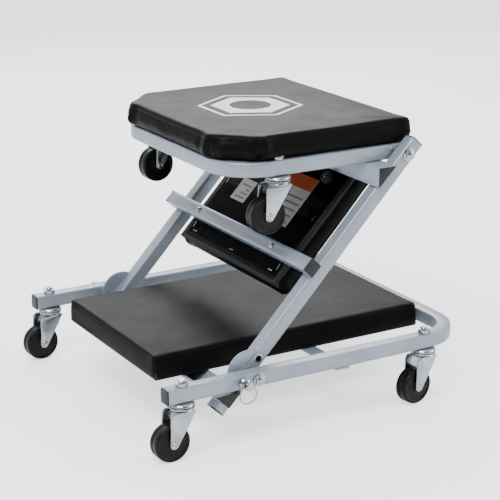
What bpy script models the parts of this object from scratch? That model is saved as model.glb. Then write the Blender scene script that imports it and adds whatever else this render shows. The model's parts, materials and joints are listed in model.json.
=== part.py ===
"""Folding mechanics creeper, set up as a shop seat.

Three square-tube frames are joined by two pairs of hinge bolts: a low base
frame on four casters, a sloping middle frame, and a top frame that carries
the seat pad and two more casters. Laid out flat it is a creeper on six
casters.

Units are metres, +Z is up and +X runs along the rails towards the base
frame's closed bend. The origin is on the floor under the middle of the
bounding box.
"""
import math

import bmesh
import bpy
from mathutils import Matrix, Vector

MM = 0.001

# ---------------------------------------------------------------- dimensions
TUBE = 20 * MM                  # outside size of the square steel tube
WALL = 1.5 * MM                 # its wall
TUBE_CORNER = 2.5 * MM          # its outside corner radius
GAP = 0.3 * MM                  # space left between pieces that touch

BASE_LENGTH = 477 * MM
BASE_WIDTH = 440 * MM
BEND_RADIUS = 56 * MM           # to the tube's centre line
CASTER_HEIGHT = 78.5 * MM       # floor to the underside of the rails
LEFT_END = -228.2 * MM          # x of the base rails' open ends
HALF_WIDTH = BASE_WIDTH / 2

HINGE_FROM_LEFT = 132 * MM      # base rail end to the lower hinge
HINGE_SPACING = 364 * MM        # lower hinge to upper hinge
LEAN = math.radians(46.5)       # slope of the middle frame as a seat
MIDDLE_OUT = 192 * MM           # centre plane to the middle tubes' outside
MIDDLE_TAIL = -64 * MM          # middle tube ends, measured along the tube
MIDDLE_TIP = 385 * MM

TOP_HALF_WIDTH = 169 * MM       # centre plane to the top rails' outside
TOP_LEFT = -108.2 * MM          # x of the top frame's closed bend
TOP_RIGHT = 166.8 * MM          # x of the top rails' open ends

HINGE_BOLT = 4 * MM             # radii
LOCK_PIN = 3.5 * MM
STEM = 5 * MM
RUNNING = 0.3 * MM              # radial clearance of bolts, pins and stems

LOCK_ARM = 23 * MM              # lower hinge to the lock pin
TOP_PIN_X, TOP_PIN_Z = -14 * MM, 6 * MM   # top lock pin from the upper hinge

WHEEL_RADIUS = 25.4 * MM
WHEEL_WIDTH = 19.6 * MM
CASTER_TRAIL = 18 * MM          # swivel axis to axle
STEM_X = -205.2 * MM            # stems near the rails' open ends
STEM_X_BEND = 176.8 * MM        # stems near the base frame's bend
TOP_STEM_X = -31.7 * MM

PAD_HEIGHT = 36 * MM            # board and pad together
BOARD = 9 * MM
PAD_HALF_WIDTH = 139 * MM       # base and middle pads
PAD_LEFT, PAD_RIGHT = -208.2 * MM, 222.8 * MM
MIDDLE_PAD_FROM, MIDDLE_PAD_TO = 114 * MM, 337 * MM
SEAT_LEFT, SEAT_RIGHT = -108.2 * MM, 173.8 * MM
SEAT_CHAMFER = 50 * MM
ANGLE_LEG = 27.5 * MM           # leg of the angle-iron cross bars
ANGLE_WALL = 2.5 * MM
MIDDLE_BAR_AT = 150.5 * MM      # lower edge of the square cross bar
BUMPER_AT, BUMPER_OUT = 287 * MM, 89 * MM
PLUG = 1.6 * MM                 # thickness of the caps over the tube ends
LOCK_PLATE = 31 * MM            # radius of the half-round lock plates
NOSE_GAP = 0.4 * MM             # lock pin nose to lock plate
AXLE = 3 * MM                   # radii
RING_WIRE = 1.1 * MM
RING_RADIUS = 12.5 * MM

RAIL_Z = CASTER_HEIGHT + TUBE / 2
LOWER_HINGE = Vector((LEFT_END + HINGE_FROM_LEFT, 0, RAIL_Z))
UPPER_HINGE = LOWER_HINGE + HINGE_SPACING * Vector((math.cos(LEAN), 0, math.sin(LEAN)))
MIDDLE = Matrix.Translation(LOWER_HINGE) @ Matrix.Rotation(-LEAN, 4, "Y")
TOP = Matrix.Translation(UPPER_HINGE)
WORLD = Matrix.Identity(4)

SIDES = ((-1, "near"), (1, "far"))

BASE_Y, TOP_Y = HALF_WIDTH - TUBE / 2, TOP_HALF_WIDTH - TUBE / 2
TOP_STEM_Z = UPPER_HINGE.z - TUBE / 2
# name, stem position under the rail, swivel angle in degrees, frame that carries it
CASTERS = [
    ("front_near", Vector((STEM_X, -BASE_Y, CASTER_HEIGHT)), 182, WORLD),
    ("front_far", Vector((STEM_X, BASE_Y, CASTER_HEIGHT)), 186, WORLD),
    ("bend_near", Vector((STEM_X_BEND, -BASE_Y, CASTER_HEIGHT)), 188, WORLD),
    ("bend_far", Vector((STEM_X_BEND, BASE_Y, CASTER_HEIGHT)), 176, WORLD),
    ("top_near", Vector((TOP_STEM_X, -TOP_Y, TOP_STEM_Z)), 177, TOP),
    ("top_far", Vector((TOP_STEM_X, TOP_Y, TOP_STEM_Z)), 184, TOP),
]
BASE_STEMS = [stem for _, stem, _, matrix in CASTERS if matrix is WORLD]
TOP_STEMS = [stem for _, stem, _, matrix in CASTERS if matrix is TOP]


# ------------------------------------------------------------------- helpers
def clear_scene():
    for obj in list(bpy.data.objects):
        bpy.data.objects.remove(obj, do_unlink=True)
    for old in list(bpy.data.collections):
        bpy.data.collections.remove(old)


clear_scene()
PARTS = bpy.data.collections.new("mechanics_creeper")
CUTTERS = bpy.data.collections.new("cutters")
bpy.context.scene.collection.children.link(PARTS)
bpy.context.scene.collection.children.link(CUTTERS)

FINISHES = {                    # colour, roughness, metallic
    "frame_paint": ((0.50, 0.55, 0.61), 0.35, 0.3),
    "vinyl": ((0.035, 0.033, 0.031), 0.45, 0.0),
    "board": ((0.012, 0.012, 0.012), 0.8, 0.0),
    "black_plastic": ((0.02, 0.02, 0.022), 0.5, 0.0),
    "rubber": ((0.015, 0.015, 0.015), 0.7, 0.0),
    "zinc": ((0.75, 0.76, 0.78), 0.25, 1.0),
    "wheel": ((0.012, 0.012, 0.013), 0.3, 0.0),
}


def material(node, finish):
    colour, roughness, metallic = FINISHES[finish]
    mat = bpy.data.materials.new(node + "_" + finish)
    mat.use_nodes = True
    shader = mat.node_tree.nodes["Principled BSDF"]
    shader.inputs["Base Color"].default_value = (*colour, 1)
    shader.inputs["Roughness"].default_value = roughness
    shader.inputs["Metallic"].default_value = metallic
    return mat


def new_object(name, mesh, matrix, collection):
    obj = bpy.data.objects.new(name, mesh)
    obj.matrix_world = matrix
    collection.objects.link(obj)
    return obj


def node(name, bm, finish, matrix=WORLD):
    """Finish a bmesh as one named piece of the object."""
    bmesh.ops.recalc_face_normals(bm, faces=bm.faces)
    mesh = bpy.data.meshes.new(name)
    bm.to_mesh(mesh)
    bm.free()
    obj = new_object(name, mesh, matrix, PARTS)
    mesh.materials.append(material(name, finish))
    mesh.shade_smooth()
    mesh.set_sharp_from_angle(angle=math.radians(35))
    return obj


def combine(obj, bm, operation):
    """Boolean obj with the closed shapes in bm, given in obj's own axes."""
    bmesh.ops.recalc_face_normals(bm, faces=bm.faces)
    mesh = bpy.data.meshes.new(obj.name + "_" + operation.lower())
    bm.to_mesh(mesh)
    bm.free()
    cutter = new_object(mesh.name, mesh, obj.matrix_world.copy(), CUTTERS)
    cutter.hide_render = True
    cutter.display_type = "WIRE"
    modifier = obj.modifiers.new(operation.lower(), "BOOLEAN")
    modifier.operation = operation
    modifier.solver = "EXACT"
    modifier.object = cutter


def cut(obj, bm):
    combine(obj, bm, "DIFFERENCE")


def join(obj, bm):
    combine(obj, bm, "UNION")


def add_box(bm, low, high, bevel=0.0, segments=1):
    low, high = Vector(low), Vector(high)
    made = bmesh.ops.create_cube(bm, size=1.0)
    size = Matrix.Diagonal((*(high - low), 1))
    bmesh.ops.transform(bm, matrix=Matrix.Translation((low + high) / 2) @ size, verts=made["verts"])
    if bevel:
        edges = {edge for vert in made["verts"] for edge in vert.link_edges}
        bmesh.ops.bevel(bm, geom=list(edges), offset=bevel, segments=segments,
                        affect="EDGES", profile=0.5, clamp_overlap=True, material=-1)


def add_rod(bm, start, end, radius, segments=12):
    start, end = Vector(start), Vector(end)
    way = end - start
    turn = Vector((0, 0, 1)).rotation_difference(way).to_matrix().to_4x4()
    bmesh.ops.create_cone(
        bm, cap_ends=True, segments=segments, radius1=radius, radius2=radius, depth=way.length,
        matrix=Matrix.Translation((start + end) / 2) @ turn)


def add_bar(bm, start, end, size=TUBE, corner=TUBE_CORNER):
    """A solid square bar along X or Y, with its long edges rounded."""
    start, end = Vector(start), Vector(end)
    half = size / 2
    along = (end - start).normalized()
    side = Vector((half, half, half)) - Vector([half * abs(a) for a in along])
    made = bmesh.ops.create_cube(bm, size=1.0)
    low, high = start - side, end + side
    matrix = Matrix.Translation((low + high) / 2) @ Matrix.Diagonal((*(high - low), 1))
    bmesh.ops.transform(bm, matrix=matrix, verts=made["verts"])
    if corner:
        edges = {e for v in made["verts"] for e in v.link_edges}
        edges = [e for e in edges if abs((e.verts[1].co - e.verts[0].co).normalized().dot(along)) > 0.9]
        bmesh.ops.bevel(bm, geom=edges, offset=corner, segments=1, affect="EDGES",
                        profile=0.5, clamp_overlap=True, material=-1)


def add_prism(bm, outline, low, high):
    """Extrude an outline of (x, z) points along Y."""
    faces = [bm.verts.new((x, low, z)) for x, z in outline]
    face = bm.faces.new(faces)
    made = bmesh.ops.extrude_face_region(bm, geom=[face])
    moved = [v for v in made["geom"] if isinstance(v, bmesh.types.BMVert)]
    bmesh.ops.translate(bm, vec=(0, high - low, 0), verts=moved)


def add_slab(bm, outline, low, high, bevel=0.0, segments=2):
    """Extrude an outline of (x, y) points along Z and round its edges."""
    face = bm.faces.new([bm.verts.new((x, y, low)) for x, y in outline])
    made = bmesh.ops.extrude_face_region(bm, geom=[face])
    moved = [v for v in made["geom"] if isinstance(v, bmesh.types.BMVert)]
    bmesh.ops.translate(bm, vec=(0, 0, high - low), verts=moved)
    if bevel:
        bmesh.ops.bevel(bm, geom=bm.edges[:], offset=bevel, segments=segments,
                        affect="EDGES", profile=0.5, clamp_overlap=True, material=-1)


def arc(centre, radius, first, last, steps):
    """Points (a, b) round a centre, angles in degrees."""
    for i in range(steps + 1):
        angle = math.radians(first + (last - first) * i / steps)
        yield (centre[0] + radius * math.cos(angle), centre[1] + radius * math.sin(angle))


def add_hex(bm, centre, along, across_flats, height):
    centre, along = Vector(centre), Vector(along)
    radius = across_flats / 2 / math.cos(math.pi / 6)
    add_rod(bm, centre, centre + along * height, radius, segments=6)


def swept_square(name, points, size, corner, z):
    """A square section swept along a flat path, as a closed mesh."""
    profile = bpy.data.curves.new(name + "_profile", "CURVE")
    profile.dimensions = "2D"
    half = size / 2 - corner
    outline = []
    for cx, cy, first in ((half, half, 0), (-half, half, 90), (-half, -half, 180), (half, -half, 270)):
        outline += list(arc((cx, cy), corner, first, first + 90, 1))
    spline = profile.splines.new("POLY")
    spline.points.add(len(outline) - 1)
    for point, (a, b) in zip(spline.points, outline):
        point.co = (a, b, 0, 1)
    spline.use_cyclic_u = True
    section = new_object(name + "_profile", profile, WORLD, CUTTERS)

    path = bpy.data.curves.new(name + "_path", "CURVE")
    path.dimensions = "3D"
    path.bevel_mode = "OBJECT"
    path.bevel_object = section
    path.use_fill_caps = True
    path.twist_mode = "Z_UP"
    spline = path.splines.new("POLY")
    spline.points.add(len(points) - 1)
    for point, (x, y) in zip(spline.points, points):
        point.co = (x, y, z, 1)
    guide = new_object(name + "_path", path, WORLD, CUTTERS)
    bpy.context.view_layer.update()
    graph = bpy.context.evaluated_depsgraph_get()
    mesh = bpy.data.meshes.new_from_object(guide.evaluated_get(graph))
    bm = bmesh.new()
    bm.from_mesh(mesh)
    bmesh.ops.remove_doubles(bm, verts=bm.verts, dist=1e-5)
    bpy.data.objects.remove(guide)
    bpy.data.objects.remove(section)
    bpy.data.meshes.remove(mesh)
    return bm


def u_frame(name, open_x, closed_x, half_width, z, matrix, to_local):
    """A hollow square tube bent to a U, open towards open_x."""
    way = 1 if closed_x > open_x else -1
    centre_y = half_width - TUBE / 2
    corner_x = closed_x - way * (TUBE / 2 + BEND_RADIUS)
    corner_y = centre_y - BEND_RADIUS

    def path(extra):
        points = [(open_x - way * extra, -centre_y)]
        points += [(corner_x + way * (x - corner_x), y) for x, y in
                   arc((corner_x, -corner_y), BEND_RADIUS, 270, 360, 6)]
        points += [(corner_x + way * (x - corner_x), y) for x, y in
                   arc((corner_x, corner_y), BEND_RADIUS, 0, 90, 6)]
        points += [(open_x - way * extra, centre_y)]
        return points

    outer = swept_square(name, path(0), TUBE, TUBE_CORNER, z)
    inner = swept_square(name + "_bore", path(2 * MM), TUBE - 2 * WALL, 1 * MM, z)
    for bm in (outer, inner):
        bmesh.ops.transform(bm, matrix=to_local, verts=bm.verts)
    obj = node(name, outer, "frame_paint", matrix)
    cut(obj, inner)
    return obj


# ----------------------------------------------------------- repeated pieces
def rail_plugs(name, x, way, y_centre, z, matrix):
    """Black caps over the two open ends of a U frame."""
    half = TUBE / 2
    inverse = matrix.inverted()
    for side, label in SIDES:
        bm = bmesh.new()
        y = side * y_centre
        low, high = sorted((x + way * GAP, x + way * (GAP + PLUG)))
        add_box(bm, (low, y - half, z - half), (high, y + half, z + half), 0.5 * MM)
        bmesh.ops.transform(bm, matrix=inverse, verts=bm.verts)
        node(name + "_" + label, bm, "black_plastic", matrix)


def caster_mount(label, stem, matrix):
    """Threaded stem with its upper raceway, its nut and the riveted end that holds the fork."""
    top = TUBE + 9 * MM
    nut_low, nut_high = TUBE + GAP, TUBE + GAP + 6 * MM
    profile = [(0, top), (STEM, top), (STEM, -GAP), (14.5 * MM, -GAP), (17 * MM, -3.6 * MM),
               (STEM, -3.6 * MM), (STEM, -9.8 * MM), (7 * MM, -9.8 * MM), (6 * MM, -12 * MM),
               (0, -12 * MM)]
    bm = bmesh.new()
    spin_about(bm, profile, stem, (0, 0, 1), 16, False)
    bmesh.ops.transform(bm, matrix=matrix.inverted(), verts=bm.verts)
    obj = node("caster_mount_" + label, bm, "zinc", matrix)
    nut = bmesh.new()
    add_hex(nut, stem + Vector((0, 0, nut_low)), (0, 0, 1), 15 * MM, nut_high - nut_low)
    bmesh.ops.transform(nut, matrix=matrix.inverted(), verts=nut.verts)
    join(obj, nut)


def fork(label, stem, angle):
    """Pressed fork with its riveted axle, trailing along local X from the stem."""
    matrix = Matrix.Translation(stem) @ Matrix.Rotation(math.radians(angle), 4, "Z")
    axle = Vector((CASTER_TRAIL, 0, WHEEL_RADIUS - CASTER_HEIGHT))
    crown_top, crown_low = -3.9 * MM, -9.5 * MM
    leg_in, leg_out = WHEEL_WIDTH / 2 + 1.2 * MM, WHEEL_WIDTH / 2 + 3.4 * MM
    outline = [(-15 * MM, crown_low), (-12 * MM, -6.8 * MM), (19 * MM, -6.8 * MM), (23 * MM, -13 * MM)]
    outline += list(arc((axle.x, axle.z), 6.3 * MM, 8, -150, 5))
    outline += [(-8 * MM, -24 * MM)]
    bm = bmesh.new()
    for side in (-1, 1):
        low, high = sorted((side * leg_in, side * leg_out))
        add_prism(bm, outline, low, high)
    obj = node("caster_fork_" + label, bm, "zinc", matrix)
    bm = bmesh.new()
    profile = [(STEM + RUNNING, crown_top), (16.5 * MM, crown_top), (16.5 * MM, crown_low),
               (STEM + RUNNING, crown_low)]
    spin_about(bm, profile, (0, 0, 0), (0, 0, 1), 16, True)
    join(obj, bm)
    bm = bmesh.new()
    end = leg_out + 2 * MM
    profile = [(0, -end), (4 * MM, -end), (5 * MM, -leg_out + 0.1 * MM), (AXLE, -leg_out + 0.1 * MM)]
    profile += [(r, -y) for r, y in reversed(profile)]
    spin_about(bm, profile, axle, (0, 1, 0), 12, False)
    join(obj, bm)
    half, rim = WHEEL_WIDTH / 2, WHEEL_RADIUS
    profile = [(AXLE + RUNNING, -half), (8 * MM, -half), (rim - 5 * MM, -half + 2 * MM),
               (rim - 1.2 * MM, -half * 0.55), (rim, 0)]
    profile += [(r, -y) for r, y in reversed(profile[:-1])]
    bm = bmesh.new()
    spin_about(bm, profile, (0, 0, 0), (0, 1, 0), 16, True)
    node("caster_wheel_" + label, bm, "wheel", matrix @ Matrix.Translation(axle))


def spin_about(bm, profile, seat, along, steps, closed):
    """Turn (radius, along) points about the line through seat and add the shape to bm."""
    turn = Vector((0, 0, 1)).rotation_difference(Vector(along)).to_matrix().to_4x4()
    part = bmesh.new()
    ring = [part.verts.new((r, 0, z)) for r, z in profile]
    pairs = list(zip(ring, ring[1:])) + ([(ring[-1], ring[0])] if closed else [])
    edges = [part.edges.new(pair) for pair in pairs]
    bmesh.ops.spin(part, geom=ring + edges, cent=(0, 0, 0), axis=(0, 0, 1), angle=math.tau,
                   steps=steps, use_merge=True)
    bmesh.ops.remove_doubles(part, verts=part.verts, dist=1e-6)
    bmesh.ops.transform(part, matrix=Matrix.Translation(Vector(seat)) @ turn, verts=part.verts)
    mesh = bpy.data.meshes.new("turned")
    part.to_mesh(mesh)
    part.free()
    bm.from_mesh(mesh)
    bpy.data.meshes.remove(mesh)


def pad(name, outline, low, high, board_inset, matrix, bevel=7 * MM):
    """A closed soft block with a shallow recess below for its board."""
    bm = bmesh.new()
    add_slab(bm, outline, low, high, bevel, 2)
    obj = node(name, bm, "vinyl", matrix)
    hole = bmesh.new()
    inset = shrink(outline, board_inset - GAP)
    add_slab(hole, inset, low - 1 * MM, low + BOARD + GAP)
    cut(obj, hole)


def shrink(outline, by):
    """Move a convex outline's corners towards its middle, side by side."""
    count = len(outline)
    points = []
    for i in range(count):
        before, here, after = (Vector(outline[(i + k) % count]) for k in (-1, 0, 1))
        first, second = (here - before).normalized(), (after - here).normalized()
        normals = [Vector((-d.y, d.x)) for d in (first, second)]
        middle = (normals[0] + normals[1]).normalized()
        points.append(tuple(here + middle * by / middle.dot(normals[0])))
    return points


def board(name, outline, low, inset, matrix):
    bm = bmesh.new()
    add_slab(bm, shrink(outline, inset), low, low + BOARD)
    return node(name, bm, "board", matrix)


# ---------------------------------------------------------------- base frame
def base_frame():
    rail = u_frame("base_rail", LEFT_END, LEFT_END + BASE_LENGTH, HALF_WIDTH, RAIL_Z, WORLD, WORLD)
    housings = bmesh.new()
    holes = bmesh.new()
    lock_x = LOWER_HINGE.x - LOCK_ARM
    for side, _ in SIDES:
        spin_about(housings, [(0, 0), (8 * MM, 0), (8 * MM, 5 * MM), (6.5 * MM, 6.5 * MM), (0, 6.5 * MM)],
                   (lock_x, side * (HALF_WIDTH - 1 * MM), RAIL_Z), (0, side, 0), 16, False)
        for x, radius in ((LOWER_HINGE.x, HINGE_BOLT), (lock_x, LOCK_PIN)):
            add_rod(holes, (x, side * (HALF_WIDTH + 0.01), RAIL_Z),
                    (x, side * (HALF_WIDTH - 0.03), RAIL_Z), radius + RUNNING)
    for stem in BASE_STEMS:
        add_rod(holes, stem - Vector((0, 0, 0.01)), stem + Vector((0, 0, 0.04)), STEM + RUNNING)
    join(rail, housings)
    cut(rail, holes)
    rail_plugs("base_rail_plug", LEFT_END, -1, HALF_WIDTH - TUBE / 2, RAIL_Z, WORLD)

    bm = bmesh.new()
    strap_high = CASTER_HEIGHT - GAP
    strap_half = HALF_WIDTH - 1 * MM
    add_box(bm, (26.3 * MM, -strap_half, strap_high - 3 * MM), (47.3 * MM, strap_half, strap_high))
    node("base_cross_strap", bm, "frame_paint")

    outline = [(PAD_LEFT, -PAD_HALF_WIDTH), (PAD_RIGHT, -PAD_HALF_WIDTH),
               (PAD_RIGHT, PAD_HALF_WIDTH), (PAD_LEFT, PAD_HALF_WIDTH)]
    low = CASTER_HEIGHT + GAP
    pad("base_pad", outline, low, low + PAD_HEIGHT, 4 * MM, WORLD)
    board("base_board", outline, low, 4 * MM, WORLD)
    hinge_bolts("lower_hinge_bolt", LOWER_HINGE, HALF_WIDTH, HALF_WIDTH - TUBE - MIDDLE_OUT, WORLD)
    lock_pins()


def hinge_bolts(name, hinge, outside, gap, matrix):
    """A bolt through two tubes each side, with its washers and nut: head outside, nut inside."""
    head = 5 * MM
    washer = 1.6 * MM
    reach = TUBE + gap + TUBE
    for side, label in SIDES:
        inward = Vector((0, -side, 0))
        seat = Vector((hinge.x, side * outside, hinge.z))
        low = -GAP - washer
        profile = [(0, low - head), (5 * MM, low - head + 1 * MM), (7 * MM, low - 1 * MM), (7 * MM, low),
                   (9 * MM, low), (9 * MM, -GAP), (HINGE_BOLT, -GAP),
                   (HINGE_BOLT, TUBE + GAP), (8 * MM, TUBE + GAP), (8 * MM, TUBE + gap - GAP),
                   (HINGE_BOLT, TUBE + gap - GAP), (HINGE_BOLT, reach + 9 * MM), (0, reach + 9 * MM)]
        bm = bmesh.new()
        spin_about(bm, profile, seat, inward, 12, False)
        bmesh.ops.transform(bm, matrix=matrix.inverted(), verts=bm.verts)
        obj = node(name + "_" + label, bm, "zinc", matrix)
        nut = bmesh.new()
        add_hex(nut, seat + inward * (reach + GAP), inward, 13 * MM, 6 * MM)
        bmesh.ops.transform(nut, matrix=matrix.inverted(), verts=nut.verts)
        join(obj, nut)


def lock_pins():
    """Sprung pins in the base rails, each with its pull ring."""
    x = LOWER_HINGE.x - LOCK_ARM
    for side, label in SIDES:
        outer = HALF_WIDTH + 5.8 * MM
        origin = Matrix.Translation((x, side * outer, RAIL_Z))
        reach = outer - MIDDLE_OUT - NOSE_GAP
        bm = bmesh.new()
        profile = [(0, -reach), (LOCK_PIN, -reach), (LOCK_PIN, 0), (7 * MM, 0), (7 * MM, 3 * MM),
                   (4.5 * MM, 4.5 * MM), (4.5 * MM, 8 * MM), (6 * MM, 9.5 * MM), (5.5 * MM, 12.6 * MM),
                   (0, 12.6 * MM)]
        spin_about(bm, profile, (0, 0, 0), (0, side, 0), 16, False)
        pin = node("lock_pin_" + label, bm, "zinc", origin)
        eye = side * 6.2 * MM
        hole = bmesh.new()
        add_rod(hole, (-0.01, eye, 0), (0.01, eye, 0), 2 * RING_WIRE)
        cut(pin, hole)
        bm = bmesh.new()
        ring = [bm.verts.new((0, RING_WIRE * math.cos(a), RING_WIRE * math.sin(a)))
                for a in [math.tau * i / 6 for i in range(6)]]
        edges = [bm.edges.new(pair) for pair in zip(ring, ring[1:] + ring[:1])]
        bmesh.ops.spin(bm, geom=ring + edges, cent=(0, 0, -RING_RADIUS), axis=(0, 1, 0), angle=math.tau,
                       steps=24, use_merge=True)
        bmesh.ops.remove_doubles(bm, verts=bm.verts, dist=1e-6)
        node("lock_ring_" + label, bm, "zinc", origin @ Matrix.Translation((0, eye, 0)))


# -------------------------------------------------------------- middle frame
def angle_section(corner, first, second):
    """An L of two legs from corner, along two directions in the (x, z) plane."""
    corner, first, second = Vector(corner), Vector(first), Vector(second)
    points = [corner, corner + first * ANGLE_LEG, corner + first * ANGLE_LEG + second * ANGLE_WALL,
              corner + (first + second) * ANGLE_WALL, corner + second * ANGLE_LEG + first * ANGLE_WALL,
              corner + second * ANGLE_LEG]
    return [tuple(p) for p in points]


def triangle_plug(corner, first, second, inset):
    corner, first, second = Vector(corner), Vector(first), Vector(second)
    start = corner + (first + second) * inset
    leg = ANGLE_LEG - 2.4 * inset
    return [tuple(start), tuple(start + first * leg), tuple(start + second * leg)]


def middle_frame():
    centre_y = MIDDLE_OUT - TUBE / 2
    tube_top = TUBE / 2
    for side, label in SIDES:
        bm = bmesh.new()
        add_bar(bm, (MIDDLE_TAIL, side * centre_y, 0), (MIDDLE_TIP, side * centre_y, 0))
        tube = node("middle_tube_" + label, bm, "frame_paint", MIDDLE)
        holes = bmesh.new()
        add_bar(holes, (MIDDLE_TAIL - 1 * MM, side * centre_y, 0),
                (MIDDLE_TIP + 1 * MM, side * centre_y, 0), TUBE - 2 * WALL, 1 * MM)
        cut(tube, holes)
        holes = bmesh.new()
        outside, inside = side * (MIDDLE_OUT + 0.01), side * (MIDDLE_OUT - TUBE - 0.01)
        for x in (0, HINGE_SPACING):
            add_rod(holes, (x, outside, 0), (x, inside, 0), HINGE_BOLT + RUNNING)
        add_rod(holes, (LOCK_ARM, outside, 0), (LOCK_ARM, side * (MIDDLE_OUT - 5 * MM), 0), 5 * MM)
        add_rod(holes, (HINGE_SPACING - TOP_PIN_X, inside, -TOP_PIN_Z),
                (HINGE_SPACING - TOP_PIN_X, side * (MIDDLE_OUT - TUBE + 5 * MM), -TOP_PIN_Z), 3.4 * MM)
        cut(tube, holes)

        # half-round lock plate welded on the tube's upper-left side, notched over the lower angle bar
        foot = tube_top - 0.5 * MM
        notch = tube_top + ANGLE_WALL + 2 * GAP
        start, stop = (math.degrees(math.asin(z / LOCK_PLATE)) for z in (foot, notch))
        outer, inner = MIDDLE_OUT, MIDDLE_OUT - 3 * MM
        plate = bmesh.new()
        outline = list(arc((0, 0), LOCK_PLATE, start, 180 - stop, 14))
        outline += [(-26 * MM, notch), (-26 * MM, foot)]
        add_prism(plate, outline, *sorted((side * outer, side * inner)))
        join(tube, plate)
        lock = math.pi - LEAN
        x, z = LOCK_ARM * math.cos(lock), LOCK_ARM * math.sin(lock)
        hole = bmesh.new()
        add_rod(hole, (x, side * (outer + 0.01), z), (x, side * (inner - 1 * MM), z), LOCK_PIN + 0.5 * MM)
        cut(tube, hole)

        half = TUBE / 2
        for x, way, end in ((MIDDLE_TAIL, -1, "lower"), (MIDDLE_TIP, 1, "upper")):
            low, high = sorted((x + way * GAP, x + way * (GAP + PLUG)))
            bm = bmesh.new()
            add_box(bm, (low, side * centre_y - half, -half),
                    (high, side * centre_y + half, half), 0.5 * MM)
            node(f"middle_tube_plug_{end}_{label}", bm, "black_plastic", MIDDLE)

    cross_bars(tube_top)
    middle_pad(tube_top)


def cross_bars(tube_top):
    """Lower angle bar under the base rails, square bar, upper angle bar under the top rails."""

    def into_frame(x, z):
        return (x * math.cos(LEAN) + z * math.sin(LEAN), -x * math.sin(LEAN) + z * math.cos(LEAN))

    # lower bar: one leg on the tubes, the open side up against the rails' underside
    underside = -TUBE / 2 - GAP
    face = tube_top + GAP
    rise = ANGLE_LEG * math.sin(LEAN) + ANGLE_WALL * math.cos(LEAN)
    apex = ((underside - rise - face * math.cos(LEAN)) / math.sin(LEAN), face)
    legs = [(1, 0), (0, 1)]
    bm = bmesh.new()
    end = HALF_WIDTH - 2 * MM
    add_prism(bm, angle_section(apex, *legs), -end, end)
    node("lower_angle_bar", bm, "frame_paint", MIDDLE)
    angle_plugs("lower_angle_plug", end, triangle_plug(apex, *legs, 0.2 * MM))

    # square bar
    low_x, high_x = MIDDLE_BAR_AT, MIDDLE_BAR_AT + TUBE
    z = tube_top + GAP + TUBE / 2
    end = MIDDLE_OUT + 3 * MM
    bm = bmesh.new()
    add_bar(bm, ((low_x + high_x) / 2, -end, z), ((low_x + high_x) / 2, end, z))
    bar = node("middle_cross_bar", bm, "frame_paint", MIDDLE)
    bore = bmesh.new()
    add_bar(bore, ((low_x + high_x) / 2, -end - 1 * MM, z), ((low_x + high_x) / 2, end + 1 * MM, z),
            TUBE - 2 * WALL, 1 * MM)
    cut(bar, bore)
    slots = bmesh.new()
    for side in (-1, 1):
        y = side * 104 * MM
        centre = (low_x + high_x) / 2
        add_box(slots, (centre - 3.4 * MM, y - 5 * MM, z - 12 * MM),
                (centre + 3.4 * MM, y + 5 * MM, z + 12 * MM))
    cut(bar, slots)
    for side, label in SIDES:
        low, high = sorted((side * (end + GAP), side * (end + GAP + PLUG)))
        bm = bmesh.new()
        add_box(bm, (low_x, low, z - TUBE / 2), (high_x, high, z + TUBE / 2), 0.5 * MM)
        node("cross_bar_plug_" + label, bm, "black_plastic", MIDDLE)

    # upper bar: one leg level, so that the top rails rest on it, one leg upright
    end = MIDDLE_OUT + 8 * MM
    top_level = UPPER_HINGE.z - LOWER_HINGE.z - TUBE / 2 - GAP
    right_x = ((top_level - ANGLE_WALL) * math.cos(LEAN) - face) / math.sin(LEAN)
    corner = into_frame(right_x - ANGLE_LEG, top_level)
    legs = [into_frame(1, 0), into_frame(0, -1)]
    bm = bmesh.new()
    add_prism(bm, angle_section(corner, *legs), -end, end)
    node("upper_angle_bar", bm, "frame_paint", MIDDLE)
    angle_plugs("upper_angle_plug", end, triangle_plug(corner, *legs, 0.2 * MM))


def angle_plugs(name, end, outline):
    for side, label in SIDES:
        bm = bmesh.new()
        add_prism(bm, outline, *sorted((side * (end + GAP), side * (end + GAP + PLUG))))
        node(name + "_" + label, bm, "black_plastic", MIDDLE)


def middle_pad(tube_top):
    """Board and pad hang under the cross bars, soft side away from them."""
    flip = MIDDLE @ Matrix.Rotation(math.pi, 4, "X")
    outline = [(MIDDLE_PAD_FROM, -PAD_HALF_WIDTH), (MIDDLE_PAD_TO, -PAD_HALF_WIDTH),
               (MIDDLE_PAD_TO, PAD_HALF_WIDTH), (MIDDLE_PAD_FROM, PAD_HALF_WIDTH)]
    low = -tube_top
    pad("middle_pad", outline, low, low + PAD_HEIGHT, 4 * MM, flip)
    board("middle_board", outline, low, 4 * MM, flip)
    for side, label in SIDES:
        bm = bmesh.new()
        spin_about(bm, [(0, 0), (9 * MM, 0), (9.5 * MM, 3 * MM), (7 * MM, 10 * MM), (0, 10 * MM)],
                   (BUMPER_AT, side * BUMPER_OUT, tube_top + GAP), (0, 0, 1), 16, False)
        node("board_bumper_" + label, bm, "rubber", MIDDLE)


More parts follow.
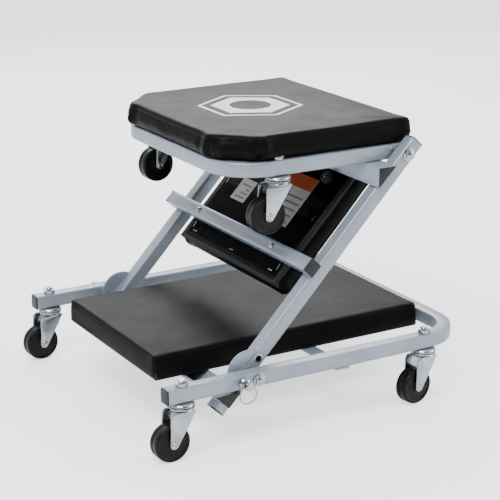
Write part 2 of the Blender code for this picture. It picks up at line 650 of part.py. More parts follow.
# ----------------------------------------------------------------- top frame
def top_frame():
    inverse = TOP.inverted()
    rail = u_frame("top_rail", TOP_RIGHT, TOP_LEFT, TOP_HALF_WIDTH, UPPER_HINGE.z, TOP, inverse)
    holes = bmesh.new()
    for stem in TOP_STEMS:
        add_rod(holes, stem - Vector((0, 0, 0.01)), stem + Vector((0, 0, 0.04)), STEM + RUNNING)
    for side in (-1, 1):
        for x, z, radius in ((0, 0, HINGE_BOLT), (TOP_PIN_X, TOP_PIN_Z, 3 * MM)):
            add_rod(holes, (UPPER_HINGE.x + x, side * (TOP_HALF_WIDTH + 0.01), UPPER_HINGE.z + z),
                    (UPPER_HINGE.x + x, side * (TOP_HALF_WIDTH - 0.03), UPPER_HINGE.z + z),
                    radius + RUNNING)
    bmesh.ops.transform(holes, matrix=inverse, verts=holes.verts)
    cut(rail, holes)

    rail_plugs("top_rail_plug", TOP_RIGHT, 1, TOP_HALF_WIDTH - TUBE / 2, UPPER_HINGE.z, TOP)

    rail_top = TUBE / 2
    reach = TOP_HALF_WIDTH - TUBE - GAP
    for x, label in ((-190 * MM, "left"), (-75 * MM, "right")):
        bm = bmesh.new()
        add_box(bm, (x, -reach, rail_top - 3 * MM), (x + 25 * MM, reach, rail_top))
        node("top_cross_strap_" + label, bm, "frame_paint", TOP)
    low = rail_top + GAP
    left, right = SEAT_LEFT - UPPER_HINGE.x, SEAT_RIGHT - UPPER_HINGE.x
    wide = TOP_HALF_WIDTH
    outline = [(left, -wide + SEAT_CHAMFER), (left + SEAT_CHAMFER, -wide), (right, -wide), (right, wide),
               (left + SEAT_CHAMFER, wide), (left, wide - SEAT_CHAMFER)]
    pad("seat_pad", outline, low, low + PAD_HEIGHT, 14 * MM, TOP)
    board("seat_board", outline, low, 14 * MM, TOP)
    # the stems' nuts stand in pockets under the seat
    for name in ("seat_board", "seat_pad"):
        holes = bmesh.new()
        for stem in TOP_STEMS:
            local = inverse @ stem
            add_rod(holes, (local.x, local.y, rail_top - 1 * MM),
                    (local.x, local.y, rail_top + 11 * MM), 10.5 * MM)
        cut(bpy.data.objects[name], holes)

    hinge_bolts("upper_hinge_bolt", UPPER_HINGE, MIDDLE_OUT, MIDDLE_OUT - TUBE - TOP_HALF_WIDTH, TOP)
    for side, label in SIDES:
        origin = TOP @ Matrix.Translation((TOP_PIN_X, side * TOP_HALF_WIDTH, TOP_PIN_Z))
        bm = bmesh.new()
        spin_about(bm, [(0, 2.4 * MM), (2.4 * MM, 2.2 * MM), (3 * MM, 1.4 * MM), (3 * MM, -20.5 * MM),
                        (3.8 * MM, -20.5 * MM), (3.8 * MM, -27 * MM), (0, -27.5 * MM)],
                   (0, 0, 0), (0, side, 0), 12, False)
        node("top_lock_pin_" + label, bm, "zinc", origin)


def casters():
    for label, stem, angle, matrix in CASTERS:
        caster_mount(label, stem, matrix)
        fork(label, stem, angle)


base_frame()
middle_frame()
top_frame()
casters()
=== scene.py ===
# %% [markdown]
# # A folding mechanics creeper, standing as a shop seat
# Three frames of square steel tube are joined by hinge bolts. The base frame rolls on
# four casters, the middle frame slopes, and the top frame carries the seat pad and two
# more casters that reach the floor when the creeper is laid flat. This lesson starts
# from a packed mechanical model and gives every piece its real edges and surfaces.

import json
import math

import bmesh
import bpy
from mathutils import Matrix, Vector, noise
from mathutils.bvhtree import BVHTree


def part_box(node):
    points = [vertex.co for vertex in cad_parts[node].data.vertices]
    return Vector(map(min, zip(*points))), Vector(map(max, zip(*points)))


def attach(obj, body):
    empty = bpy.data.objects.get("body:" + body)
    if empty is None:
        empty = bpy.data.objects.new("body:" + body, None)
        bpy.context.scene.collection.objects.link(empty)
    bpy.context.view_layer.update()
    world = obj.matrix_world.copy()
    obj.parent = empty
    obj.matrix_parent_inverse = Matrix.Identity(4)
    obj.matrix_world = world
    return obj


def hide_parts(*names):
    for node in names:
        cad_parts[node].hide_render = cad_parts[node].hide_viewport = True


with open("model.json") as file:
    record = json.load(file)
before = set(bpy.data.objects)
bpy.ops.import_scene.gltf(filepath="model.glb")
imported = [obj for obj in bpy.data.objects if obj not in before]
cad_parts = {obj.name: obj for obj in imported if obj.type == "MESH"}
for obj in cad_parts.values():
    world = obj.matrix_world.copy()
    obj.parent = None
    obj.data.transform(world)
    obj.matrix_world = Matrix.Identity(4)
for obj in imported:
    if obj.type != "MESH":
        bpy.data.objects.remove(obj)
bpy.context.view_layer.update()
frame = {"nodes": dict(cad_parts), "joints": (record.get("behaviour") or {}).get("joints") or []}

# %% [markdown]
# ## Where everything is
# The hinge and caster joints of the mechanical model already say where the frames turn,
# so the positions are read from them. Only cross-section sizes are typed in.

# %% Read the joints and name the sizes
MM = 0.001
JOINTS = {joint["name"]: joint for joint in frame["joints"]}
SIDES = ((-1, "near"), (1, "far"))
CORNERS = ("front_near", "front_far", "bend_near", "bend_far", "top_near", "top_far")

TUBE = 20 * MM
WALL = 1.5 * MM
GAP = 0.3 * MM
BEND_RADIUS = 56 * MM
LOWER = Vector(JOINTS["lower_fold"]["pos_m"])
UPPER = Vector(JOINTS["upper_fold"]["pos_m"])
LEAN = math.atan2(UPPER.z - LOWER.z, UPPER.x - LOWER.x)
WORLD = Matrix.Identity(4)
MIDDLE = Matrix.Translation(LOWER) @ Matrix.Rotation(-LEAN, 4, "Y")
RAIL_OUT = abs(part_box("base_rail_plug_near")[0][1])
MIDDLE_OUT = abs(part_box("middle_tube_near")[0][1])
TOP_OUT = abs(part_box("top_rail")[0][1])
print("the middle frame leans at", round(math.degrees(LEAN), 1), "degrees")

# %% [markdown]
# ## Turning a mesh into a piece
# Every piece is built as a bmesh and then handed over in the same way: doubles are
# merged, normals are made to point outwards, edges sharper than an angle stay crisp,
# and the piece is told which rigid body it rides on and which plain solid it replaces.


# %% A helper that finishes a piece
def piece(name, bm, body, finish, stands_for=(), place=WORLD, crisp=38):
    bmesh.ops.remove_doubles(bm, verts=bm.verts, dist=1e-6)
    bmesh.ops.recalc_face_normals(bm, faces=bm.faces)
    bmesh.ops.transform(bm, matrix=place, verts=bm.verts)
    mesh = bpy.data.meshes.new(name)
    bm.to_mesh(mesh)
    bm.free()
    mesh.materials.append(finish)
    mesh.shade_smooth()
    mesh.set_sharp_from_angle(angle=math.radians(crisp))
    made = bpy.data.objects.new(name, mesh)
    bpy.context.scene.collection.objects.link(made)
    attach(made, body)
    if stands_for:
        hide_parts(*stands_for)
    return made


# %% [markdown]
# ## Small helpers for meshes
# Nearly every edge of a real piece is rounded, many outlines are pushed out to a
# thickness, and a few pieces need a modifier's result as a plain mesh.


# %% Round edges, push out an outline, read a finished mesh
def round_edges(bm, edges, radius, segments=2, clamp=False):
    bmesh.ops.bevel(bm, geom=edges, offset=radius, segments=segments, affect="EDGES", profile=0.5,
                    clamp_overlap=clamp, material=-1)


def sharp_edges(bm, least):
    return [e for e in bm.edges if e.is_manifold and math.degrees(e.calc_face_angle(0)) > least]


def pushed_out(bm, faces, way):
    """Extrude faces along a vector."""
    made = bmesh.ops.extrude_face_region(bm, geom=faces)["geom"]
    bmesh.ops.translate(bm, vec=way, verts=[v for v in made if isinstance(v, bmesh.types.BMVert)])


def evaluated_mesh(made):
    bpy.context.view_layer.update()
    return bpy.data.meshes.new_from_object(made.evaluated_get(bpy.context.evaluated_depsgraph_get()))


# %% [markdown]
# ## Colours and nodes
# Colours are picked as sRGB hex values, and Blender shades in linear light, so one
# function converts them. A second one adds a shader node with its settings and links.


# %% Colour and node helpers
def srgb(code):
    channels = [int(code[i:i + 2], 16) / 255 for i in (1, 3, 5)]
    linear = [c / 12.92 if c <= 0.04045 else ((c + 0.055) / 1.055) ** 2.4 for c in channels]
    return (*linear, 1)


def add(tree, kind, settings=None, links=None):
    made = tree.nodes.new(kind)
    for name, value in (settings or {}).items():
        if name in made.inputs:
            made.inputs[name].default_value = value
        else:
            setattr(made, name, value)
    for name, source in (links or {}).items():
        tree.links.new(source, made.inputs[name])
    return made


def new_finish(name, colour, roughness, metallic=0.0):
    """A material, its node tree, its shader and its Object coordinates."""
    made = bpy.data.materials.new(name)
    made.use_nodes = True
    tree = made.node_tree
    shader = tree.nodes["Principled BSDF"]
    shader.inputs["Base Color"].default_value = srgb(colour)
    shader.inputs["Roughness"].default_value = roughness
    shader.inputs["Metallic"].default_value = metallic
    place = add(tree, "ShaderNodeTexCoord").outputs["Object"]
    return made, tree, shader, place


def grain(tree, shader, place, size, height, detail=3.0, strength=0.6):
    """Fine relief whose lumps are about one size apart."""
    bumps = add(tree, "ShaderNodeTexNoise", {"Scale": 1 / size, "Detail": detail}, {"Vector": place})
    relief = add(tree, "ShaderNodeBump", {"Strength": strength, "Distance": height},
                 {"Height": bumps.outputs["Fac"]})
    tree.links.new(relief.outputs["Normal"], shader.inputs["Normal"])
    return bumps


def vary(tree, shader, place, size, socket, low, high):
    """Drift a roughness or colour between two values over patches of a size."""
    patches = add(tree, "ShaderNodeTexNoise", {"Scale": 1 / size, "Detail": 4.0}, {"Vector": place})
    if socket == "Base Color":
        ramp = add(tree, "ShaderNodeValToRGB", links={"Fac": patches.outputs["Fac"]})
        ramp.color_ramp.elements[0].position = 0.35
        ramp.color_ramp.elements[1].position = 0.68
        ramp.color_ramp.elements[0].color = srgb(low)
        ramp.color_ramp.elements[1].color = srgb(high)
        tree.links.new(ramp.outputs["Color"], shader.inputs[socket])
        return
    limits = {"From Min": 0.3, "From Max": 0.7, "To Min": low, "To Max": high}
    spread = add(tree, "ShaderNodeMapRange", limits, {"Value": patches.outputs["Fac"]})
    tree.links.new(spread.outputs["Result"], shader.inputs[socket])


# %% [markdown]
# ## Grey powder coat
# The tubes are sprayed with dry polyester powder that is baked until it flows. It never
# levels fully, which leaves the faint ripple called orange peel, about 2 mm from crest
# to crest, and a satin gloss that catches broad highlights along every rounded edge.

# %% Powder coat
powder_coat, tree, shader, place = new_finish("powder_coat_grey", "#9aa4b0", 0.34, 0.35)
vary(tree, shader, place, 60 * MM, "Base Color", "#939da9", "#a2acb8")
vary(tree, shader, place, 35 * MM, "Roughness", 0.29, 0.40)
grain(tree, shader, place, 2.2 * MM, 0.06 * MM)

# %% [markdown]
# ## Black upholstery vinyl
# The covers are PVC on knitted cloth, calendered with a leather grain. The grain is a
# net of tiny rounded cells, so a cell pattern (Voronoi) about 1.4 mm across makes it.
# The plasticiser keeps its gloss low, so the specular level is well under the usual.

# %% Vinyl
def upholstery(name):
    made, tree, shader, place = new_finish(name, "#0c0c0c", 0.42)
    vary(tree, shader, place, 45 * MM, "Roughness", 0.37, 0.43)
    shader.inputs["Specular IOR Level"].default_value = 0.05
    grid = {"feature": "SMOOTH_F1", "Scale": 1 / (1.4 * MM), "Smoothness": 0.5}
    cells = add(tree, "ShaderNodeTexVoronoi", grid, {"Vector": place})
    folds = add(tree, "ShaderNodeTexNoise", {"Scale": 1 / (75 * MM), "Detail": 1.0}, {"Vector": place})
    leather = add(tree, "ShaderNodeBump", {"Strength": 0.35, "Distance": 0.15 * MM},
                  {"Height": cells.outputs["Distance"]})
    relief = add(tree, "ShaderNodeBump", {"Strength": 0.08, "Distance": 2.0 * MM},
                 {"Height": folds.outputs["Fac"], "Normal": leather.outputs["Normal"]})
    tree.links.new(relief.outputs["Normal"], shader.inputs["Normal"])
    return made, tree, shader, place


vinyl, tree, shader, place = upholstery("pvc_vinyl_black")
vary(tree, shader, place, 70 * MM, "Base Color", "#0a0a0a", "#121110")

# %% [markdown]
# ## The mark on the seat
# A white mark is screen printed on the seat. Here it is a plain hexagon nut in a
# hexagon line. A hexagon is where the largest of three distances, each measured across
# a pair of flats, has one value, and the nut's hole is a circle.

# %% Printed vinyl
NUT_CENTRE = (15 * MM, -8 * MM)
NUT_FLATS, NUT_BORE = 48 * MM, 29 * MM
LINE_FLATS, LINE_WIDTH = 64 * MM, 5 * MM
printed_vinyl, tree, shader, place = upholstery("pvc_vinyl_black_printed")
centred = {"Location": (-NUT_CENTRE[0], -NUT_CENTRE[1], 0), "Scale": (1, 1, 0)}
flat_map = add(tree, "ShaderNodeMapping", centred, {"Vector": place})
spans = []
for turn in (0, 60, 120):
    across = (math.cos(math.radians(turn)), math.sin(math.radians(turn)), 0)
    span = add(tree, "ShaderNodeVectorMath", {"operation": "DOT_PRODUCT"}, {})
    span.inputs[1].default_value = across
    tree.links.new(flat_map.outputs["Vector"], span.inputs[0])
    size = add(tree, "ShaderNodeMath", {"operation": "ABSOLUTE"})
    tree.links.new(span.outputs["Value"], size.inputs[0])
    spans.append(size.outputs["Value"])


def maths(operation, first, second):
    made = add(tree, "ShaderNodeMath", {"operation": operation})
    for socket, value in zip(made.inputs, (first, second)):
        if isinstance(value, float):
            socket.default_value = value
        else:
            tree.links.new(value, socket)
    return made.outputs["Value"]


hexagon_span = maths("MAXIMUM", maths("MAXIMUM", spans[0], spans[1]), spans[2])
radius_node = add(tree, "ShaderNodeVectorMath", {"operation": "LENGTH"}, {})
tree.links.new(flat_map.outputs["Vector"], radius_node.inputs[0])
outer_line = maths("MULTIPLY", maths("LESS_THAN", hexagon_span, LINE_FLATS),
                   maths("GREATER_THAN", hexagon_span, LINE_FLATS - LINE_WIDTH))
nut = maths("MULTIPLY", maths("LESS_THAN", hexagon_span, NUT_FLATS),
            maths("GREATER_THAN", radius_node.outputs["Value"], NUT_BORE))
height = add(tree, "ShaderNodeSeparateXYZ", links={"Vector": place}).outputs["Z"]
on_top = maths("GREATER_THAN", height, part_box("seat_pad")[1].z - 9 * MM)
printed = maths("MULTIPLY", maths("MAXIMUM", outer_line, nut), on_top)
wear = add(tree, "ShaderNodeTexNoise", {"Scale": 1 / (5 * MM), "Detail": 5.0}, {"Vector": place})
ink = add(tree, "ShaderNodeValToRGB", links={"Fac": wear.outputs["Fac"]})
ink.color_ramp.elements[0].position, ink.color_ramp.elements[1].position = 0.25, 0.45
ink.color_ramp.elements[0].color, ink.color_ramp.elements[1].color = srgb("#c4c4c2"), srgb("#f0f0ee")
cover = add(tree, "ShaderNodeTexNoise", {"Scale": 1 / (70 * MM), "Detail": 4.0}, {"Vector": place})
tint = add(tree, "ShaderNodeValToRGB", links={"Fac": cover.outputs["Fac"]})
tint.color_ramp.elements[0].color, tint.color_ramp.elements[1].color = srgb("#0a0a0a"), srgb("#121110")
mixed = add(tree, "ShaderNodeMix", {"data_type": "RGBA"})
tree.links.new(printed, mixed.inputs["Factor"])
tree.links.new(tint.outputs["Color"], mixed.inputs[6])
tree.links.new(ink.outputs["Color"], mixed.inputs[7])
tree.links.new(mixed.outputs[2], shader.inputs["Base Color"])

# %% [markdown]
# ## Welt vinyl, fibreboard and black plastics
# The welt that covers the seams is the same vinyl pulled tight over cord, so it is
# smoother. The boards under the pads are black-faced fibreboard, matt and
# flecked. The end caps are moulded polyethylene and the wheels are moulded nylon.

# %% Welt, board, caps, wheels and rubber
welt_vinyl, tree, shader, place = new_finish("pvc_welt", "#0c0c0c", 0.42)
shader.inputs["Specular IOR Level"].default_value = 0.05
grain(tree, shader, place, 1.0 * MM, 0.05 * MM)
vary(tree, shader, place, 30 * MM, "Roughness", 0.30, 0.42)

fibreboard, tree, shader, place = new_finish("black_faced_fibreboard", "#151515", 0.78)
vary(tree, shader, place, 3 * MM, "Base Color", "#111111", "#1e1e1e")
grain(tree, shader, place, 1.5 * MM, 0.12 * MM)

cap_plastic, tree, shader, place = new_finish("polyethylene_cap_black", "#141517", 0.5)
vary(tree, shader, place, 12 * MM, "Roughness", 0.42, 0.6)
grain(tree, shader, place, 0.8 * MM, 0.04 * MM)

wheel_nylon, tree, shader, place = new_finish("nylon_wheel_black", "#0c0c0d", 0.36)
vary(tree, shader, place, 9 * MM, "Roughness", 0.30, 0.46)
shader.inputs["Specular IOR Level"].default_value = 0.2
grain(tree, shader, place, 1.6 * MM, 0.05 * MM)

buffer_rubber, tree, shader, place = new_finish("buffer_rubber", "#1b1b1b", 0.72)
vary(tree, shader, place, 8 * MM, "Base Color", "#171717", "#232221")
grain(tree, shader, place, 0.7 * MM, 0.06 * MM)

# %% [markdown]
# ## Bright zinc plate
# The forks, bolts and pins are pressed or turned steel with bright zinc plating. Its
# colour is a slightly blue white, and handling leaves cloudy patches, so the roughness
# drifts over a centimetre or so.

# %% Zinc and nickel
zinc, tree, shader, place = new_finish("bright_zinc_plate", "#c9ccd0", 0.2, 1.0)
vary(tree, shader, place, 14 * MM, "Roughness", 0.13, 0.28)
vary(tree, shader, place, 20 * MM, "Base Color", "#a3a8ae", "#c3c7cb")
grain(tree, shader, place, 0.9 * MM, 0.02 * MM)

nickel, tree, shader, place = new_finish("nickel_plate", "#aaa7a1", 0.16, 1.0)
vary(tree, shader, place, 10 * MM, "Roughness", 0.12, 0.24)

# %% [markdown]
# ## Printed label paper
# Two glossy stickers sit on the back of the middle board. They carry a plain coloured
# band and grey bars in place of any wording.

# %% Label inks
# The white sticker film is coloured a light grey, which is painted shade because the board's back lies in
# shade.
label_white_painted_shade, tree, shader, place = new_finish("label_film_white_painted_shade", "#b3b1ad", 0.35)
vary(tree, shader, place, 25 * MM, "Base Color", "#a9a7a3", "#bbb9b5")
# The orange band is coloured darker than its ink, which is painted shade because it lies in shade with the
# sticker.
label_band_painted_shade, tree, shader, place = new_finish("label_ink_orange_painted_shade", "#a3441f", 0.35)
vary(tree, shader, place, 20 * MM, "Base Color", "#9a401d", "#ac4a26")
label_grey, tree, shader, place = new_finish("label_ink_grey", "#66676a", 0.4)
vary(tree, shader, place, 15 * MM, "Base Color", "#5f6063", "#6e7073")

# %% [markdown]
# ## Bent tube frames
# The base and top frames are one length of square tube each, bent twice. A ring with
# the tube's rounded-square section is pushed along the straights and spun round the
# bend centres, and then the skin is given the thickness of the tube's wall.


# %% Build one U-shaped frame
def square_ring(bm, centre, size, corner):
    half = size / 2
    corners = [bm.verts.new(centre + Vector((0, y, z)))
               for y, z in ((-half, -half), (half, -half), (half, half), (-half, half))]
    bm.faces.new(corners)
    bmesh.ops.bevel(bm, geom=corners, offset=corner, segments=4, affect="VERTICES", profile=0.5,
                    material=-1)
    face = list(bm.faces)[-1]
    ring = list(face.edges)
    bmesh.ops.delete(bm, geom=[face], context="FACES_ONLY")
    return ring


def push(bm, ring, way):
    made = bmesh.ops.extrude_edge_only(bm, edges=ring)["geom"]
    fresh = {v for v in made if isinstance(v, bmesh.types.BMVert)}
    bmesh.ops.translate(bm, vec=way, verts=list(fresh))
    return [e for e in made if isinstance(e, bmesh.types.BMEdge) and set(e.verts) <= fresh]


def sweep_bend(bm, ring, centre, angle):
    corners = list({v for edge in ring for v in edge.verts})
    last = bmesh.ops.spin(bm, geom=corners + ring, cent=centre, axis=(0, 0, 1), angle=angle, steps=16,
                          use_merge=False)["geom_last"]
    return [e for e in last if isinstance(e, bmesh.types.BMEdge)]


def u_frame(name, open_x, closed_x, half_width, z, body, stands_for):
    way = 1 if closed_x > open_x else -1
    y = half_width - TUBE / 2
    bend_x = closed_x - way * (TUBE / 2 + BEND_RADIUS)
    bm = bmesh.new()
    ring = square_ring(bm, Vector((open_x, -y, z)), TUBE, 2.8 * MM)
    ring = push(bm, ring, (bend_x - open_x, 0, 0))
    ring = sweep_bend(bm, ring, (bend_x, BEND_RADIUS - y, z), way * math.pi / 2)
    ring = push(bm, ring, (0, 2 * (y - BEND_RADIUS), 0))
    ring = sweep_bend(bm, ring, (bend_x, y - BEND_RADIUS, z), way * math.pi / 2)
    push(bm, ring, (open_x - bend_x, 0, 0))
    bmesh.ops.recalc_face_normals(bm, faces=bm.faces)
    bmesh.ops.solidify(bm, geom=list(bm.faces), thickness=WALL)
    return piece(name, bm, body, powder_coat, stands_for)


# %% Base and top frames
base_open, base_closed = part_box("base_rail_plug_near")[1].x + GAP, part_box("base_rail")[1].x
u_frame("base_tube", base_open, base_closed, RAIL_OUT, LOWER.z, "base_frame", ["base_rail"])
top_closed, top_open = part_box("top_rail")[0].x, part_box("top_rail")[1].x
u_frame("top_tube", top_open, top_closed, TOP_OUT, UPPER.z, "top_frame", ["top_rail"])
print("base frame", round(base_closed - base_open, 3), "m long")

# %% [markdown]
# ## Bars, plates and caps
# The middle frame's tubes and cross bars, the flat straps and the end caps already have
# the right outline as plain solids, but real tube and pressed steel have no knife edges.
# A copy of each solid has its flat faces joined up again and its edges rolled over.


# %% Roll the edges of a copied solid
def rolled(source, name, body, finish, radius, segments=2, least=24):
    bm = bmesh.new()
    bm.from_mesh(frame["nodes"][source].data)
    bmesh.ops.remove_doubles(bm, verts=bm.verts, dist=1e-5)
    bmesh.ops.dissolve_limit(bm, angle_limit=math.radians(0.6), verts=bm.verts, edges=bm.edges)
    round_edges(bm, sharp_edges(bm, least), radius, segments, True)
    return piece(name, bm, body, finish, [source])


# %% Roll the flat-sided pieces
for source in ("lower_angle_bar", "upper_angle_bar"):
    rolled(source, source.replace("bar", "iron"), "middle_frame", powder_coat, 0.6 * MM)
rolled("middle_cross_bar", "middle_cross_tube", "middle_frame", powder_coat, 0.8 * MM)
rolled("base_cross_strap", "base_flat_strap", "base_frame", powder_coat, 0.5 * MM)
for end in ("left", "right"):
    rolled("top_cross_strap_" + end, "top_flat_strap_" + end, "top_frame", powder_coat,
           0.5 * MM)
CAPS = (("base_rail_plug_", "base_frame", 0.4), ("top_rail_plug_", "top_frame", 0.4),
        ("middle_tube_plug_lower_", "middle_frame", 0.35),
        ("middle_tube_plug_upper_", "middle_frame", 0.35), ("lower_angle_plug_", "middle_frame", 0.35),
        ("cross_bar_plug_", "middle_frame", 0.35), ("upper_angle_plug_", "middle_frame", 0.35))
for side, label in SIDES:
    for kind, body, radius in CAPS:
        rolled(kind + label, kind.replace("plug", "cap") + label, body, cap_plastic,
               radius * MM)

# %% [markdown]
# ## Turned pieces
# Bolts, pins, stems and wheels are round, so each is drawn once as half a cross-section
# and spun about its axis. The radius and height pairs, in millimetres, are that half
# section.


# %% Spin a half section
def in_mm(*pairs):
    return [(first * MM, second * MM) for first, second in pairs]


def turned(bm, profile, place=WORLD, steps=48, closed=False):
    part = bmesh.new()
    line = [part.verts.new((radius, 0, height)) for radius, height in profile]
    edges = [part.edges.new(pair) for pair in zip(line, line[1:])]
    if closed:
        edges.append(part.edges.new((line[-1], line[0])))
    bmesh.ops.spin(part, geom=line + edges, cent=(0, 0, 0), axis=(0, 0, 1), angle=math.tau, steps=steps,
                   use_merge=True)
    bmesh.ops.remove_doubles(part, verts=part.verts, dist=1e-6)
    bmesh.ops.recalc_face_normals(part, faces=part.faces)
    bmesh.ops.transform(part, matrix=place, verts=part.verts)
    join(bm, part)


def join(bm, part):
    mesh = bpy.data.meshes.new("joined")
    part.to_mesh(mesh)
    part.free()
    bm.from_mesh(mesh)
    bpy.data.meshes.remove(mesh)


def facing(seat, along):
    """Stand a shape drawn along +Z at seat, pointing along another direction."""
    turn = Vector((0, 0, 1)).rotation_difference(Vector(along))
    return Matrix.Translation(Vector(seat)) @ turn.to_matrix().to_4x4()


def hexagon(bm, place, across, low, high, chamfer=0.6 * MM):
    part = bmesh.new()
    bmesh.ops.create_cone(part, cap_ends=True, segments=6, radius1=across / math.sqrt(3),
                          radius2=across / math.sqrt(3), depth=high - low,
                          matrix=Matrix.Translation((0, 0, (low + high) / 2)))
    round_edges(part, list(part.edges), chamfer)
    bmesh.ops.transform(part, matrix=place, verts=part.verts)
    join(bm, part)


# %% [markdown]
# ## Middle tubes and their lock plates
# Each middle tube is a square tube with a half-round plate welded to its upper side. The
# spring pin of the base frame drops into the plate's hole or into the hole in the tube.
# The holes are cut with a Boolean whose result is kept, because a hole that is really
# through the wall shows its dark inside from any angle.


# %% Cut holes and keep the result
def as_object(bm, name):
    mesh = bpy.data.meshes.new(name)
    bmesh.ops.recalc_face_normals(bm, faces=bm.faces)
    bm.to_mesh(mesh)
    bm.free()
    made = bpy.data.objects.new(name, mesh)
    bpy.context.scene.collection.objects.link(made)
    return made


def drilled(bm, drills):
    solid, tool = as_object(bm, "drill_solid"), as_object(drills, "drill_tool")
    modifier = solid.modifiers.new("drill", "BOOLEAN")
    modifier.operation = "DIFFERENCE"
    modifier.solver = "EXACT"
    modifier.object = tool
    result = bmesh.new()
    result.from_mesh(evaluated_mesh(solid))
    bpy.data.objects.remove(solid)
    bpy.data.objects.remove(tool)
    return result


def long_tube(start, end, y, size=TUBE, corner=2.8 * MM):
    bm = bmesh.new()
    ring = square_ring(bm, Vector((start, y, 0)), size, corner)
    push(bm, ring, (end - start, 0, 0))
    bmesh.ops.recalc_face_normals(bm, faces=bm.faces)
    bmesh.ops.solidify(bm, geom=list(bm.faces), thickness=WALL)
    return bm


# %% Make both middle tubes
TUBE_TAIL, TUBE_TIP = -64 * MM, 385 * MM
LOCK_ARM, PLATE_RADIUS, PLATE_THICK = 23 * MM, 31 * MM, 3 * MM
SPAN = (UPPER - LOWER).length
lock_angle = math.pi - LEAN
for side, label in SIDES:
    drills = bmesh.new()
    for u, v, radius, far in ((0, 0, 4.3, -0.03), (SPAN, 0, 4.3, -0.03), (LOCK_ARM, 0, 5, -0.006)):
        turned(drills, [(0, far), (radius * MM, far), (radius * MM, 0.005), (0, 0.005)],
               facing((u, side * MIDDLE_OUT, v), (0, side, 0)), 40)
    y = side * (MIDDLE_OUT - TUBE / 2)
    piece("middle_tube_drawn_" + label, drilled(long_tube(TUBE_TAIL, TUBE_TIP, y), drills), "middle_frame",
          powder_coat, ["middle_tube_" + label], MIDDLE)
    plate = bmesh.new()
    turned(plate, [(0, 0), (PLATE_RADIUS, 0), (PLATE_RADIUS, -PLATE_THICK), (0, -PLATE_THICK)],
           facing((0, side * MIDDLE_OUT, 0), (0, side, 0)), 64)
    geom = list(plate.verts) + list(plate.edges) + list(plate.faces)
    bmesh.ops.bisect_plane(plate, geom=geom, plane_co=(0, 0, TUBE / 2 - 0.3 * MM), plane_no=(0, 0, -1),
                           clear_outer=True)
    bmesh.ops.holes_fill(plate, edges=[e for e in plate.edges if e.is_boundary])
    drills = bmesh.new()
    hole = (LOCK_ARM * math.cos(lock_angle), side * MIDDLE_OUT, LOCK_ARM * math.sin(lock_angle))
    turned(drills, [(0, -0.01), (4 * MM, -0.01), (4 * MM, 0.01), (0, 0.01)], facing(hole, (0, side, 0)), 32)
    notch = bmesh.ops.create_cube(drills, size=1.0)["verts"]
    bmesh.ops.transform(drills, matrix=Matrix.Translation((-36 * MM, side * MIDDLE_OUT, 8 * MM))
                        @ Matrix.Diagonal((20 * MM, 20 * MM, 10.6 * MM, 1)), verts=notch)
    plate = drilled(plate, drills)
    round_edges(plate, sharp_edges(plate, 50), 0.35 * MM, 2, True)
    piece("lock_plate_" + label, plate, "middle_frame", powder_coat, place=MIDDLE)
    bush = bmesh.new()
    turned(bush, in_mm((4.4, -4), (4.4, 0.3), (5.6, 0.3), (6, 0), (4.95, 0), (4.95, -4)),
           facing((LOCK_ARM, side * MIDDLE_OUT, 0), (0, side, 0)), 40, True)
    piece("lock_bush_" + label, bush, "middle_frame", zinc, place=MIDDLE)

# %% [markdown]
# ## Hinge bolts
# Each hinge is one long bolt through two tubes. Its head has a low dome over a hexagon,
# a washer spreads the load, and a nylon-insert nut stops it from undoing.

# %% Bolts, washers and nuts
HINGES = (("lower", LOWER, RAIL_OUT, RAIL_OUT - TUBE - MIDDLE_OUT, "base_frame"),
          ("upper", UPPER, MIDDLE_OUT, MIDDLE_OUT - TUBE - TOP_OUT, "top_frame"))
for level, hinge, outside, gap, body in HINGES:
    for side, label in SIDES:
        stand = facing((hinge.x, side * outside, hinge.z), (0, side, 0))
        bm = bmesh.new()
        turned(bm, in_mm((4, 0.3), (9, 0.3), (9, 1.6), (8.6, 1.9), (4, 1.9)), stand, 40, True)
        hexagon(bm, stand, 12.6 * MM, 1.9 * MM, 5.2 * MM)
        turned(bm, in_mm((0, 1.9), (6, 1.9), (5.4, 5.2), (3.4, 6.5), (0, 6.9)), stand, 40)
        reach = TUBE + gap + TUBE
        turned(bm, [(0, 1 * MM), (4 * MM, 1 * MM), (4 * MM, -reach - 8 * MM), (3.3 * MM, -reach - 9 * MM),
                    (0, -reach - 9 * MM)], stand, 32)
        turned(bm, [(4 * MM, -TUBE - GAP), (8 * MM, -TUBE - GAP), (8 * MM, -TUBE - gap + GAP),
                    (4 * MM, -TUBE - gap + GAP)], stand, 32, True)
        hexagon(bm, stand, 13 * MM, -reach - 6.3 * MM, -reach - GAP)
        piece(f"{level}_hinge_screw_{label}", bm, body, zinc, [f"{level}_hinge_bolt_{label}"])

# %% [markdown]
# ## Spring lock pins and their pull rings
# A housing on each base rail holds a sprung pin. Its turned knob has a groove for the
# fingers and a cross hole for a split ring, which is two turns of flattened wire.

# %% Lock pins
for side, label in SIDES:
    pin_low, pin_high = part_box("lock_pin_" + label)
    centre = (pin_low + pin_high) / 2
    rail_face = side * RAIL_OUT
    stand = facing((centre.x, rail_face, LOWER.z), (0, side, 0))
    bm = bmesh.new()
    turned(bm, in_mm((3.8, -1), (7.6, -1), (8, 0), (8, 3.6), (7.4, 4.2), (6.4, 5.5), (3.8, 5.5)),
           stand, 40, True)
    piece("lock_housing_" + label, bm, "base_frame", zinc)
    bm = bmesh.new()
    turned(bm, in_mm((0, -27.6), (2.6, -27.6), (3.5, -26.4), (3.5, 5.8), (6.4, 5.8), (7, 6.4), (7, 8.4),
                     (6.4, 9), (4.5, 10.3), (4.5, 13.8), (5.4, 15), (6, 16), (5.9, 17.4), (5, 18.2),
                     (0, 18.4)), stand, 40)
    drills = bmesh.new()
    turned(drills, [(0, -0.02), (2.2 * MM, -0.02), (2.2 * MM, 0.02), (0, 0.02)],
           facing((centre.x, rail_face + side * 12 * MM, LOWER.z), (1, 0, 0)), 24)
    pin = "lock_pin_" + label
    piece("lock_plunger_" + label, drilled(bm, drills), pin, zinc, [pin])

